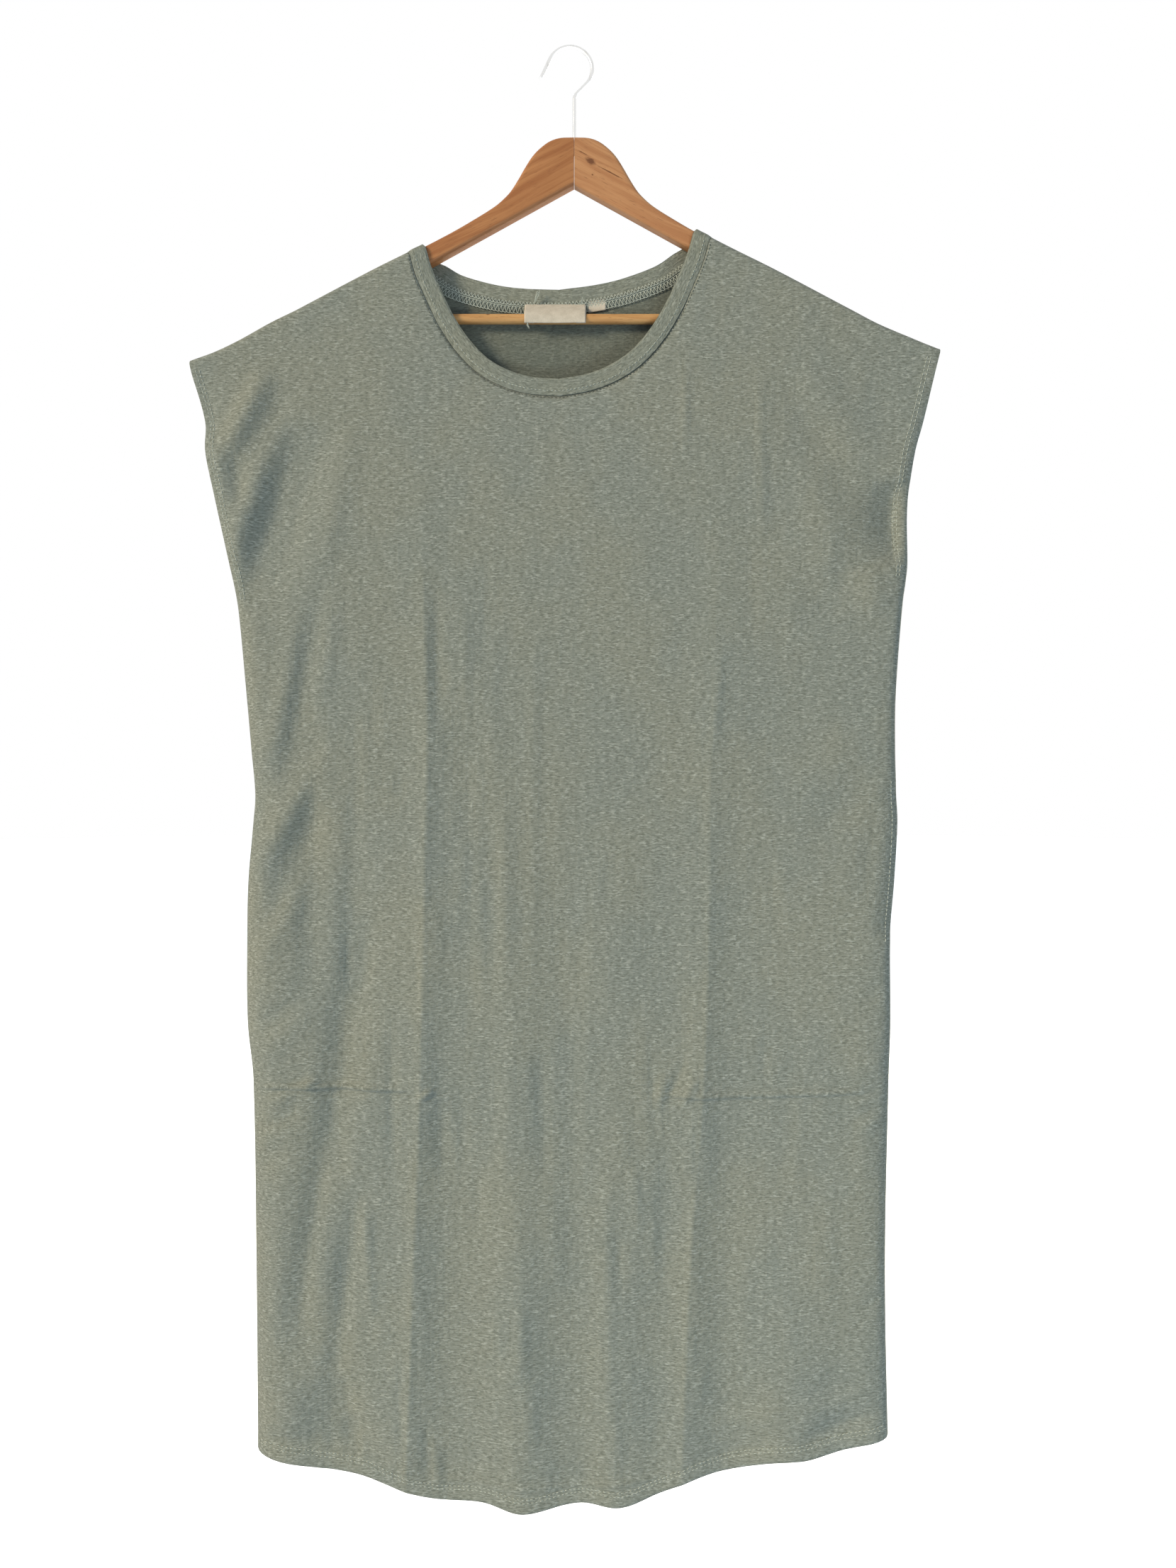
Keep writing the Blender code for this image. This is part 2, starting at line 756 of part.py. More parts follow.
def hook_path():
    """Middle line of the wire (across, drop): tip, open round, slant to the middle, bend and stem."""
    middle_drop = HOOK_RADIUS - WIRE_RADIUS

    def on_arc(centre, radius, angle):
        turn = math.radians(angle)
        return (centre[0] + radius * math.cos(turn), centre[1] - radius * math.sin(turn))

    sweep = HOOK_NECK_ANGLE - HOOK_OPEN_ANGLE
    angles = [HOOK_OPEN_ANGLE + sweep * i / HOOK_STEPS for i in range(HOOK_STEPS + 1)]
    round_part = [on_arc((0.0, middle_drop), HOOK_RADIUS, angle) for angle in angles]
    opening = math.radians(HOOK_OPEN_ANGLE)
    tip = (
        round_part[0][0] - HOOK_TIP_LENGTH * math.sin(opening),
        round_part[0][1] - HOOK_TIP_LENGTH * math.cos(opening),
    )
    bend_across = HANGER_ACROSS + HOOK_BEND_RADIUS
    bend_start = on_arc((bend_across, 0.0), HOOK_BEND_RADIUS, HOOK_BEND_ANGLES[0])
    slant_foot = round_part[-1][1] + (round_part[-1][0] - bend_start[0])
    bend_middle = (bend_across, slant_foot - bend_start[1])
    bend = [on_arc(bend_middle, HOOK_BEND_RADIUS, angle) for angle in HOOK_BEND_ANGLES]
    return [tip, *round_part, *bend, (HANGER_ACROSS, ARM_TOP[0][1] + STEM_DEPTH)]


def build_hook():
    """The bent wire hook."""
    curve = bpy.data.curves.new("hanger_hook", "CURVE")
    curve.dimensions = "3D"
    curve.bevel_depth = WIRE_RADIUS * MM
    curve.bevel_resolution = 2
    curve.use_fill_caps = True
    path = hook_path()
    line = curve.splines.new("POLY")
    line.points.add(len(path) - 1)
    for point, (across, drop) in zip(line.points, path):
        point.co = (*place(across, 0, drop), 1)
    curve.materials.append(bpy.data.materials["wire"])
    hook = bpy.data.objects.new("hanger_hook", curve)
    bpy.data.collections[OBJECT_NAME].objects.link(hook)


def start_clean():
    """Empty scene, the two collections and the materials."""
    for old in list(bpy.data.objects):
        bpy.data.objects.remove(old)
    for name in (OBJECT_NAME, "cutters"):
        made = bpy.data.collections.new(name)
        bpy.context.scene.collection.children.link(made)
    for name, (colour, roughness, metallic) in COLOURS.items():
        material = bpy.data.materials.new(name)
        material.use_nodes = True
        shader = material.node_tree.nodes["Principled BSDF"]
        shader.inputs["Base Color"].default_value = colour
        shader.inputs["Roughness"].default_value = roughness
        shader.inputs["Metallic"].default_value = metallic


def main():
    """Build the hanger, then the dress on it."""
    start_clean()
    build_hook()
    build_bar()
    for side in ("left", "right"):
        build_arm(side)
    for layer in ("front", "back"):
        build_panel(layer)
        build_pocket_bag(layer)
    build_neckband()
    build_label("back_neck_label", LABEL_PATH, LABEL_LEFT, LABEL_RIGHT)
    build_label("size_tab", TAB_PATH, TAB_LEFT, TAB_RIGHT, TAB_TILT)


main()
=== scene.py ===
"""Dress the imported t-shirt dress and its wooden hanger for a studio picture.

The frame is in metres with +Z up, the front of the dress faces -Y, and the origin is the inner
top of the hanger's hook. Sizes and tables here are in millimetres: "across" runs along +X, "drop"
is the distance below the origin, "depth" is the distance from the plane of the side seams, to the
front or to the back, and "out" is the distance across from the hanger's middle.
"""

import logging
import math
from collections.abc import Callable, Iterable, Sequence
from dataclasses import dataclass, field
from enum import Enum

import bmesh
import bpy
import numpy as np
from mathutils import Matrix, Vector


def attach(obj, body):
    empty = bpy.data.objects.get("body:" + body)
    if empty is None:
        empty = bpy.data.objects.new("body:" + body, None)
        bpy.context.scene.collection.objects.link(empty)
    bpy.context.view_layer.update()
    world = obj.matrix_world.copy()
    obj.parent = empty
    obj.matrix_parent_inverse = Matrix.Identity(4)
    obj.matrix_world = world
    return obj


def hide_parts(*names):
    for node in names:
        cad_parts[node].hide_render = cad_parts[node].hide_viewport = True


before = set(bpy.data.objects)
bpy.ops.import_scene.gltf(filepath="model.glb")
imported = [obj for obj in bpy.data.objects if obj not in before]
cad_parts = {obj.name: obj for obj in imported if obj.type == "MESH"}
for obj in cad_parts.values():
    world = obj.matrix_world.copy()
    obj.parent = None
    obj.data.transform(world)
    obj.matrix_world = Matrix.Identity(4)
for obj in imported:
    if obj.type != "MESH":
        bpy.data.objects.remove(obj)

LOG = logging.getLogger("dress")
MM = 0.001
BODY = "root"
Numbers = np.ndarray
Faces = list[tuple[int, ...]]
Colour = tuple[float, float, float, float]


class Layer(Enum):
    """A layer of the dress."""

    FRONT = "front"
    BACK = "back"

    @property
    def sign(self) -> int:
        """Direction of this layer along Y from the plane of the side seams."""
        return -1 if self is Layer.FRONT else 1


class Side(Enum):
    """A side of the dress, as the viewer sees it."""

    LEFT = "left"
    RIGHT = "right"

    @property
    def outward(self) -> int:
        """Direction of this side along X from the middle."""
        return -1 if self is Side.LEFT else 1


def smooth(xs: Numbers, ys: Numbers, at: Numbers) -> Numbers:
    """Height of the smooth curve through a table's points.

    Args:
        xs: Rising places of the points.
        ys: Their heights.
        at: Places to read, held within the table.

    Returns:
        The heights there.
    """
    at = np.clip(at, xs[0], xs[-1])
    index = np.arange(len(xs))
    low = np.maximum(index - 1, 0)
    high = np.minimum(index + 1, len(xs) - 1)
    slope = (ys[high] - ys[low]) / (xs[high] - xs[low])
    i = np.clip(np.searchsorted(xs, at, side="right") - 1, 0, len(xs) - 2)
    span = xs[i + 1] - xs[i]
    t = (at - xs[i]) / span
    return (
        (2 * t**3 - 3 * t**2 + 1) * ys[i]
        + (t**3 - 2 * t**2 + t) * slope[i] * span
        + (3 * t**2 - 2 * t**3) * ys[i + 1]
        + (t**3 - t**2) * slope[i + 1] * span
    )


def ease(low: float, high: float, at: Numbers) -> Numbers:
    """0 below low, 1 above high and smooth between."""
    t = np.clip((np.asarray(at, float) - low) / (high - low), 0.0, 1.0)
    return t * t * (3 - 2 * t)


def bell(distance: Numbers, half_width: float | Numbers) -> Numbers:
    """Soft hump: 1 in its middle, almost 0 at twice its half width."""
    return np.exp(-((distance / half_width) ** 2))


def quarter_round(share: Numbers) -> Numbers:
    """Height of a quarter ellipse at a share of its run, 1 beyond it."""
    share = np.clip(share, 0.0, 1.0)
    return np.sqrt(1 - (1 - share) ** 2)


@dataclass(frozen=True)
class Table:
    """A short table with named columns.

    Attributes:
        columns: Names of the columns.
        rows: The rows, rising in their first column where the table is read as a curve.
    """

    columns: tuple[str, ...]
    rows: tuple[tuple[float, ...], ...]

    def column(self, name: str) -> Numbers:
        """All the values of one column."""
        place = self.columns.index(name)
        return np.array([row[place] for row in self.rows], float)

    def read(self, name: str, at: Numbers) -> Numbers:
        """Height of the smooth curve of one column over the first one."""
        return smooth(self.column(self.columns[0]), self.column(name), at)

    def records(self) -> list[dict[str, float]]:
        """The rows with their columns' names."""
        return [dict(zip(self.columns, row)) for row in self.rows]


# Creases


@dataclass(frozen=True)
class Pressed:
    """A sharp crease left from when the dress lay folded.

    Attributes:
        path: Its path, read along its first column.
        height: Height of its ridge.
        near_width: Width over which its left or upper flank falls off.
        far_width: Width over which its other flank falls off.
        grows: Distance from the path's start over which it grows to its height.
    """

    path: Table
    height: float
    near_width: float
    far_width: float
    grows: float = 40.0

    @property
    def upright(self) -> bool:
        """Whether it runs down the dress rather than across it."""
        return self.path.columns[0] == "drop"

    def relief(self, across: Numbers, drop: Numbers) -> Numbers:
        """Height that it adds to the cloth.

        Args:
            across: Places across.
            drop: Their drops.

        Returns:
            The heights.
        """
        first = self.path.column(self.path.columns[0])
        if self.upright:
            beside, along = across - self.path.read("across", drop), drop
        else:
            beside, along = drop - self.path.read("drop", across), across
        fade = ease(first[0], first[0] + self.grows, along) * (1 - ease(first[-1] - 25, first[-1], along))
        distance = np.sqrt(beside**2 + 0.35**2) - 0.35
        return self.height * fade * np.exp(-distance / np.where(beside < 0, self.near_width, self.far_width))


@dataclass(frozen=True)
class Creases:
    """The creases of one layer, in the cloth's own sizes.

    Attributes:
        pressed: Sharp creases, the long left and right ones first.
        soft: Soft troughs (negative) and ridges (positive), each from one place to another.
        ripples: How many faint seeded ripples lie between the larger creases.
        seed: Seed of those ripples.
        level_drop: Drop about which its level creases lie.
        strength: Factor on the heights of the soft creases and ripples.
    """

    pressed: tuple[Pressed, ...]
    soft: Table
    ripples: int
    seed: int
    level_drop: float = 834.0
    strength: float = 1.3

    def ripple_rows(self) -> list[dict[str, float]]:
        """Faint upright ripples, more of them towards the hem, and short level ones below the knee.

        Returns:
            The ripples, as rows of a crease table.
        """
        draw = np.random.default_rng(self.seed)
        rows = []
        for _ in range(self.ripples):
            drop = 330 + 790 * draw.random() ** 0.7
            across = draw.uniform(-240, 240)
            length = draw.uniform(22, 60) + 110 * draw.random() ** 3
            foot = (across + draw.normal(0.02, 0.05) * length, drop + length)
            grown = 0.55 + 0.75 * min((drop - 330) / 520, 1.0)
            leftward = 1.15 if across < 0 else 0.85
            height = draw.normal(0, 0.33) * grown * leftward
            rows.append((across, drop, *foot, height, draw.uniform(3.4, 8.0)))
        for _ in range(self.ripples // 3):
            drop = draw.uniform(760, 1110)
            across = draw.uniform(-235, 225)
            length = draw.uniform(10, 34)
            foot = (across + length, drop + draw.normal(0, 0.25) * length)
            rows.append((across, drop, *foot, draw.normal(0, 0.22), draw.uniform(3.0, 5.5)))
        return Table(CREASE_COLUMNS, tuple(rows)).records()

    @staticmethod
    def one(row: dict[str, float], across: Numbers, drop: Numbers) -> Numbers:
        """Height that one soft crease adds.

        Args:
            row: The crease, as a row of a crease table.
            across: Places across.
            drop: Their drops.

        Returns:
            The heights.
        """
        run = np.array([row["to_across"] - row["from_across"], row["to_drop"] - row["from_drop"]])
        length = float(np.hypot(*run))
        run = run / length
        a = across - row["from_across"]
        d = drop - row["from_drop"]
        along = np.clip((a * run[0] + d * run[1]) / length, 0.0, 1.0)
        beside = a * run[1] - d * run[0]
        past = np.hypot(a - along * length * run[0], d - along * length * run[1])
        fade = (4 * along * (1 - along)) ** 0.7
        return row["height"] * fade * bell(np.maximum(np.abs(beside), past), row["half_width"])

    def height(self, across: Numbers, drop: Numbers) -> Numbers:
        """Height that all of this layer's creases add to its outside.

        Args:
            across: Places across.
            drop: Their drops.

        Returns:
            The heights.
        """
        total = np.zeros(np.broadcast(across, drop).shape)
        for row in self.soft.records() + self.ripple_rows():
            row["height"] *= self.strength
            reach = 3 * row["half_width"]
            low_across, high_across = sorted((row["from_across"], row["to_across"]))
            low_drop, high_drop = sorted((row["from_drop"], row["to_drop"]))
            near = (across > low_across - reach) & (across < high_across + reach)
            near &= (drop > low_drop - reach) & (drop < high_drop + reach)
            if near.any():
                total[near] += self.one(row, across[near], drop[near])
        for crease in self.pressed:
            total += crease.relief(across, drop)
        return total


CREASE_COLUMNS = ("from_across", "from_drop", "to_across", "to_drop", "height", "half_width")


def upright(*points: tuple[float, float]) -> Table:
    """Path of a crease down the dress, through points (drop, across)."""
    return Table(("drop", "across"), points)


def level(*points: tuple[float, float]) -> Table:
    """Path of a crease across it, through points (across, drop)."""
    return Table(("across", "drop"), points)


FRONT_CREASES = Creases(
    pressed=(
        Pressed(
            upright(
                (290, -124), (320, -122.3), (532, -112.7), (672, -114.4),
                (835, -117.8), (981, -122.8), (1165, -129),
            ),
            height=4.6, near_width=11.0, far_width=17.0, grows=340,
        ),
        Pressed(
            upright(
                (290, 121), (318, 120.3), (443, 117), (592, 111),
                (716, 109.6), (840, 104.6), (965, 95), (1165, 87),
            ),
            height=1.8, near_width=5.0, far_width=9.0, grows=520,
        ),
        Pressed(level((-246, 830.5), (-180, 831), (-119, 833)), 2.8, 2.8, 1.1, 12),
        Pressed(level((66, 836), (110, 838), (180, 836), (239, 834)), 2.3, 2.8, 1.1, 20),
        Pressed(level((-124, 1136), (-60, 1141), (20, 1141), (88, 1133)), 1.4, 2.2, 1.8),
    ),
    soft=Table(
        CREASE_COLUMNS,
        (
            # Left cap and armhole
            (-280, 342, -240, 262, 3.6, 9),
            (-299, 262, -283, 316, -2.4, 8),
            (-272, 322, -258, 372, -2.6, 8),
            (-254, 350, -224, 270, -1.3, 9),
            (-278, 436, -232, 296, 2.2, 9),
            (-263, 462, -214, 304, -4.0, 12),
            (-244, 462, -196, 304, -3.2, 12),
            (-208, 470, -170, 300, 1.0, 10),
            (-214, 650, -196, 510, -1.6, 15),
            (-208, 770, -200, 600, -2.2, 12),
            (-176, 740, -170, 600, -1.0, 8),
            (-172, 590, -172, 790, -1.5, 24),
            (-158, 690, -224, 1080, -3.8, 14),
            (-180, 830, -204, 1020, 1.6, 8),
            (-166, 900, -186, 1060, -2.8, 10),
            (-188, 1040, -158, 1140, -2.4, 12),
            (-190, 1060, -182, 1160, -3.0, 20),
            (-141, 780, -139, 900, -1.0, 5),
            (-52, 590, -50, 760, 1.0, 6),
            (-242, 606, -212, 450, 1.5, 8),
            (-226, 600, -194, 410, -1.4, 9),
            (-202, 560, -186, 430, 0.9, 7),
            (-196, 620, -190, 520, 0.9, 7),
            (-172, 640, -166, 500, -0.8, 7),
            # Left side
            (-250, 668, -196, 566, 2.2, 9),
            (-252, 640, -232, 560, -1.7, 9),
            (-244, 716, -196, 600, -2.0, 11),
            (-250, 742, -208, 664, 1.1, 9),
            (-250, 812, -206, 776, 1.0, 8),
            (-247, 788, -214, 760, -0.9, 6),
            (-240, 866, -214, 848, -1.4, 7),
            (-246, 846, -216, 836, 0.9, 5),
            (-246, 902, -226, 874, -1.3, 8),
            (-248, 876, -220, 858, 0.8, 5),
            (-236, 834, -205, 822, -0.7, 5),
            (-211, 831, -199, 825, 1.6, 2.2),
            (-118, 839, -108, 833, 1.6, 2.4),
            # Upright streaks between the pressed creases
            (-166, 470, -164, 620, 0.6, 7),
            (-106, 430, -104, 550, -1.4, 7),
            (-104, 840, -98, 905, -1.4, 9),
            (-84, 440, -80, 540, 0.5, 5),
            (-62, 470, -60, 640, 0.6, 6),
            (-72, 560, -70, 800, 0.7, 5),
            (-28, 460, -30, 760, 0.6, 4),
            (-12, 760, -10, 1010, 0.6, 8),
            (-22, 800, -20, 900, -0.8, 5),
            (12, 760, 14, 900, 0.9, 7),
            (30, 900, 30, 1100, 0.6, 5),
            (60, 760, 66, 1000, 0.6, 9),
            (93, 250, 91, 330, 0.6, 3.5),
            (150, 256, 154, 400, 0.7, 3.5),
            (76, 820, 68, 850, 1.3, 4),
            (92, 808, 78, 842, -1.0, 4),
            (100, 822, 88, 848, 0.9, 3.5),
            (140, 860, 134, 1090, 0.6, 12),
            (178, 740, 172, 980, -0.6, 12),
            (200, 900, 196, 1060, 0.7, 14),
            # Right cap and armhole
            (184, 250, 214, 300, 1.0, 14),
            (168, 262, 228, 372, -1.3, 14),
            (222, 254, 262, 330, -1.0, 14),
            (192, 330, 210, 424, 2.0, 20),
            (258, 350, 268, 416, -7.4, 22),
            (236, 420, 244, 456, 1.8, 12),
            (178, 430, 216, 456, -0.8, 9),
            # Right side
            (176, 600, 236, 556, 1.0, 14),
            (186, 640, 240, 592, -1.2, 14),
            (246, 596, 232, 690, -0.9, 8),
            (226, 868, 246, 852, 0.9, 4),
            (222, 856, 242, 846, -0.8, 4),
            (226, 838, 244, 832, -0.6, 4),
            (232, 770, 246, 748, -0.6, 5),
            (232, 1008, 247, 990, -0.9, 6),
            (236, 816, 248, 806, 0.6, 4),
            # Above the hem
            (-240, 1108, -196, 1112, -1.9, 9),
            (-196, 1118, -140, 1138, 1.7, 10),
            (-190, 1098, -150, 1080, 0.7, 8),
            (-112, 1120, -70, 1132, -0.8, 9),
            (-30, 1110, 10, 1134, 0.8, 9),
            (112, 1096, 168, 1088, 1.2, 8),
            (114, 1120, 160, 1112, -1.2, 7),
            (180, 1112, 244, 1086, -1.8, 8),
            (176, 1090, 236, 1070, 1.1, 8),
        ),
    ),
    ripples=230,
    seed=11,
    strength=1.6,
)

BACK_CREASES = Creases(
    pressed=(
        Pressed(
            upright((300, -124), (520, -120), (700, -118), (860, -114), (1000, -112), (1158, -110)),
            height=2.8, near_width=10.0, far_width=7.0, grows=320,
        ),
        Pressed(
            upright((300, 119), (480, 118), (660, 116), (860, 118), (1010, 115), (1158, 117)),
            height=2.4, near_width=7.0, far_width=9.0, grows=420,
        ),
        Pressed(level((-240, 834), (-170, 831), (-104, 836)), 0.8, 2.4, 2.4),
        Pressed(level((-60, 829), (20, 831), (104, 830)), 0.6, 2.4, 2.4),
        Pressed(level((128, 833), (190, 837), (240, 834)), 0.8, 2.4, 2.4),
    ),
    soft=Table(
        CREASE_COLUMNS,
        (
            (-288, 290, -226, 268, 1.6, 12),
            (-262, 420, -212, 350, -2.2, 12),
            (-250, 470, -206, 400, 1.4, 10),
            (-252, 600, -214, 520, 0.9, 10),
            (-246, 720, -206, 640, -1.3, 11),
            (-246, 880, -212, 850, 0.9, 7),
            (-218, 860, -206, 1110, -1.3, 12),
            (-172, 700, -176, 980, 0.9, 13),
            (-150, 540, -146, 760, 0.6, 9),
            (-92, 620, -84, 900, -1.2, 10),
            (-66, 430, -62, 620, 0.7, 7),
            (-44, 820, -50, 1100, 0.9, 10),
            (-4, 700, -2, 1060, -1.2, 10),
            (18, 460, 22, 640, 0.5, 6),
            (40, 780, 46, 1090, 0.8, 12),
            (72, 560, 78, 820, -0.6, 9),
            (142, 720, 150, 1080, -1.4, 13),
            (176, 480, 172, 680, 0.5, 9),
            (196, 880, 202, 1080, 0.8, 13),
            (210, 260, 262, 300, 1.2, 14),
            (200, 350, 262, 404, -2.4, 13),
            (196, 404, 250, 432, 1.2, 10),
            (196, 620, 240, 560, 0.8, 12),
            (216, 870, 244, 852, -0.9, 6),
            (-236, 1110, -180, 1116, -1.4, 9),
            (-90, 1120, -30, 1132, 1.0, 10),
            (60, 1118, 120, 1108, -0.9, 9),
            (170, 1098, 236, 1084, 1.1, 9),
        ),
    ),
    ripples=210,
    seed=23,
)


# The hanging cloth


@dataclass(frozen=True)
class DressForm:
    """Shape of the hanging cloth, as in the CAD source, with the creases on top.

    Sizes are in millimetres, and a pair is for the left and the right side unless it says otherwise.

    Attributes:
        cloth: Thickness of a panel's solid.
        seam_gap: Gap between two pieces that are sewn together.
        band_cloth: Thickness of the doubled neckband.
        band_width: Its width.
        bag_cloth: Thickness of a pocket bag.
        hanger_across: Place across of the hanger's middle.
        hanger_half: Half the hanger's width.
        arm_slope: Slope of the arms.
        roof_clear: How far above the arms the shoulder line lies.
        roof_roll: How far below it the cloth has turned down.
        armhole_gape: Half the opening between the layers at the top of an armhole.
        pocket_gape: Half the opening at the pocket's mouth.
        pocket_top: Drop of the mouth's upper end.
        pocket_foot: Drop of its lower end.
        pocket_fade: Length over which the mouth opens at each end.
        side_fullness: How squarely the cloth closes at its side edges.
        neck_left: Place across of the left neck point.
        neck_right: Place across of the right one.
        neck_turn: Length of seam over which the band turns from along the shoulder line to square.
        neck_steps: Steps along half the neck seam.
        tip_drop: Drop of the caps' tips.
        underarm_drop: Drop of the underarms.
        fold_foot: Drop at which the long folds have fully grown.
        fold_lead: How far before its start a fold begins to grow, as a share of its length.
        fold_fade_in: Share of its length over which it fades in.
        hem_turn: Upper row of stitches above the hem's edge.
        arm_top: Top edge of an arm, out from the hanger's middle.
        cap: Fall of the shoulder line past the arms' ends.
        sides: The side edges, down the armholes and the side seams.
        depths: Distance of each layer from the seam plane, and the width over which it closes.
        front_folds: Long folds of the front, ridges with a positive depth.
        back_folds: Long folds of the back.
        hem: The lower edge.
        neck_bottom: Drop of the neck seam's middle at front and back.
        front_neck: The neck seam in shares of half its width and of its fall.
        back_neck: The same at the back.
        armhole_turn: Upper row of stitches inside the armholes' edges.
        needle_gap: Distance between the two rows of a twin needle.
        doubled: Height of the doubled cloth at a turned edge.
        arm_cover: Distances below the shoulder line between which the cloth comes off the arms.
        arm_end: Distances out between which it comes off the arms' ends.
        crease_at_armhole: Share of a crease that is left at an armhole's edge.
        crease_at_hem: Share that is left at the hem.
        seam_dent: Depth of the dent along the neck seam.
        seam_dent_width: Its half width.
        seam_dent_reach: How far from the seam it has faded.
    """

    cloth: float = 1.5
    seam_gap: float = 0.3
    band_cloth: float = 2.1
    band_width: float = 14.5
    bag_cloth: float = 1.0
    hanger_across: float = 3.4
    hanger_half: float = 222.5
    arm_slope: float = 0.529
    roof_clear: float = 1.2
    roof_roll: float = 4.5
    armhole_gape: float = 6.5
    pocket_gape: float = 4.2
    pocket_top: float = 586.0
    pocket_foot: float = 718.0
    pocket_fade: float = 18.0
    side_fullness: tuple[float, float] = (2.1, 4.0)
    neck_left: float = -129.7
    neck_right: float = 113.2
    neck_turn: float = 34.0
    neck_steps: int = 88
    tip_drop: tuple[float, float] = (255.0, 244.0)
    underarm_drop: tuple[float, float] = (448.0, 430.0)
    fold_foot: float = 1153.0
    fold_lead: float = 0.2
    fold_fade_in: float = 0.17
    hem_turn: float = 11.0
    armhole_turn: tuple[float, float] = (6.6, 9.0)
    needle_gap: float = 2.6
    doubled: float = 0.45
    arm_cover: tuple[float, float] = (38.0, 75.0)
    arm_end: tuple[float, float] = (228.0, 242.0)
    crease_at_armhole: float = 0.45
    crease_at_hem: float = 0.35
    seam_dent: float = 0.8
    seam_dent_width: float = 2.6
    seam_dent_reach: float = 8.0
    arm_top: Table = Table(
        ("out", "drop"),
        (
            (0, 73.4), (12, 74.0), (20.5, 77.1), (28.5, 83.2), (34, 89.3),
            (39.5, 97.9), (45, 107.5), (51, 116.8), (57, 123.2), (63, 128.3),
            (74.5, 135.8), (97, 149.0), (125, 163.6), (160, 181.0), (222.5, 214.0),
        ),
    )
    cap: Table = Table(
        ("out", "left", "right"),
        ((0, 0.0, 0.0), (20, 9.8, 10.5), (45, 23.8, 21.2), (66, 33.8, 29.7), (86, 40.8, 35.8)),
    )
    sides: Table = Table(
        ("drop", "left", "right"),
        (
            (244, -303.0, 296.0), (257, -303.0, 292.5), (303, -290.5, 281.0), (326, -290.0, 274.5),
            (360, -283.0, 269.5), (417, -270.5, 268.5), (448, -265.0, 264.5), (520, -258.0, 259.0),
            (565, -254.0, 258.5), (600, -251.0, 259.5), (622, -252.5, 260.5), (668, -256.5, 258.0),
            (713, -257.5, 254.5), (782, -257.0, 254.5), (827, -252.5, 253.0), (976, -250.0, 250.0),
            (1135, -248.5, 252.5),
        ),
    )
    depths: Table = Table(
        ("drop", "front", "back", "side_roll"),
        (
            (140, 7.0, 7.0, 9.0), (240, 7.2, 7.2, 9.0), (330, 9.5, 9.0, 10.0), (450, 12.0, 11.5, 14.0),
            (700, 15.0, 14.5, 22.0), (900, 17.5, 16.5, 28.0), (1160, 21.0, 19.0, 34.0),
        ),
    )
    front_folds: Table = Table(
        ("top_across", "foot_across", "start", "depth", "left_width", "right_width"),
        (
            (-187, -184, 760, -3.0, 34, 34),
            (-100, -94, 700, -2.0, 16, 24),
            (-48, -38, 520, 6.5, 24, 24),
            (28, 36, 540, 4.6, 17, 30),
            (70, 70, 800, -1.2, 24, 24),
            (118, 90, 300, 3.0, 15, 24),
            (130, 122, 560, -4.0, 24, 38),
            (166, 165, 830, 3.5, 30, 30),
            (214, 214, 960, -4.0, 22, 22),
        ),
    )
    back_folds: Table = Table(
        ("top_across", "foot_across", "start", "depth", "left_width", "right_width"),
        (
            (-196, -205, 820, -5.0, 30, 30),
            (-122, -112, 300, 5.5, 26, 18),
            (-96, -84, 420, -5.0, 22, 24),
            (-40, -46, 720, 6.0, 36, 26),
            (-6, -4, 640, -5.5, 18, 24),
            (36, 44, 760, 5.0, 30, 24),
            (118, 116, 300, 6.0, 18, 24),
            (140, 146, 500, -6.0, 22, 34),
            (188, 196, 860, 4.0, 30, 30),
        ),
    )
    hem: Table = Table(
        ("across", "front", "back"),
        (
            (-250, 1121, 1123), (-205, 1129, 1126), (-160, 1136, 1129), (-125, 1148, 1136),
            (-97, 1154, 1141), (-65, 1155, 1144), (-35, 1161, 1146), (10, 1155, 1146),
            (42, 1157, 1144), (70, 1148, 1141), (98, 1137, 1136), (126, 1131, 1130),
            (160, 1124, 1125), (190, 1122, 1122), (225, 1114, 1115), (254, 1107, 1109),
        ),
    )
    neck_bottom: tuple[float, float] = (282.8, 205.3)
    front_neck: Table = Table(
        ("across_share", "fall_share"),
        (
            (1.0, 0.0), (0.962, 0.135), (0.892, 0.30), (0.81, 0.475), (0.695, 0.655),
            (0.55, 0.81), (0.38, 0.915), (0.20, 0.975), (0.0, 1.0),
        ),
    )
    back_neck: Table = Table(
        ("across_share", "fall_share"),
        ((1.0, 0.0), (0.93, 0.17), (0.845, 0.34), (0.70, 0.60), (0.46, 0.83), (0.25, 0.94), (0.0, 1.0)),
    )

    def for_side(self, pair: tuple[float, float], side: Side) -> float:
        """The value of a left and right pair for one side."""
        return pair[0] if side is Side.LEFT else pair[1]

    def roof_drop(self, across: Numbers) -> Numbers:
        """Drop of the shoulder line, where front and back meet over the arms and along the caps.

        Args:
            across: Places across.

        Returns:
            The line's drops there.
        """
        left = across < self.hanger_across
        neck = np.where(left, self.neck_left, self.neck_right)
        out = np.abs(across - self.hanger_across)
        free_edge = np.abs(neck - self.hanger_across) - self.band_width
        on_arm = np.minimum(np.maximum(out, free_edge), self.hanger_half)
        past = out - self.hanger_half
        cap = np.where(left, self.cap.read("left", past), self.cap.read("right", past))
        return self.arm_top.read("drop", on_arm) - self.roof_clear + cap

    def roof_direction(self, side: Side) -> tuple[Numbers, Numbers]:
        """Unit steps (across, drop) up the shoulder line to the neck, and square to it downwards."""
        steps = np.array([(-side.outward, -self.arm_slope), (-side.outward * self.arm_slope, 1)])
        return tuple(steps / math.hypot(1, self.arm_slope))

    def below_roof(self, across: Numbers, drop: Numbers) -> Numbers:
        """Distance from the shoulder line, square to it."""
        return (drop - self.roof_drop(across)) / math.hypot(1, self.arm_slope)

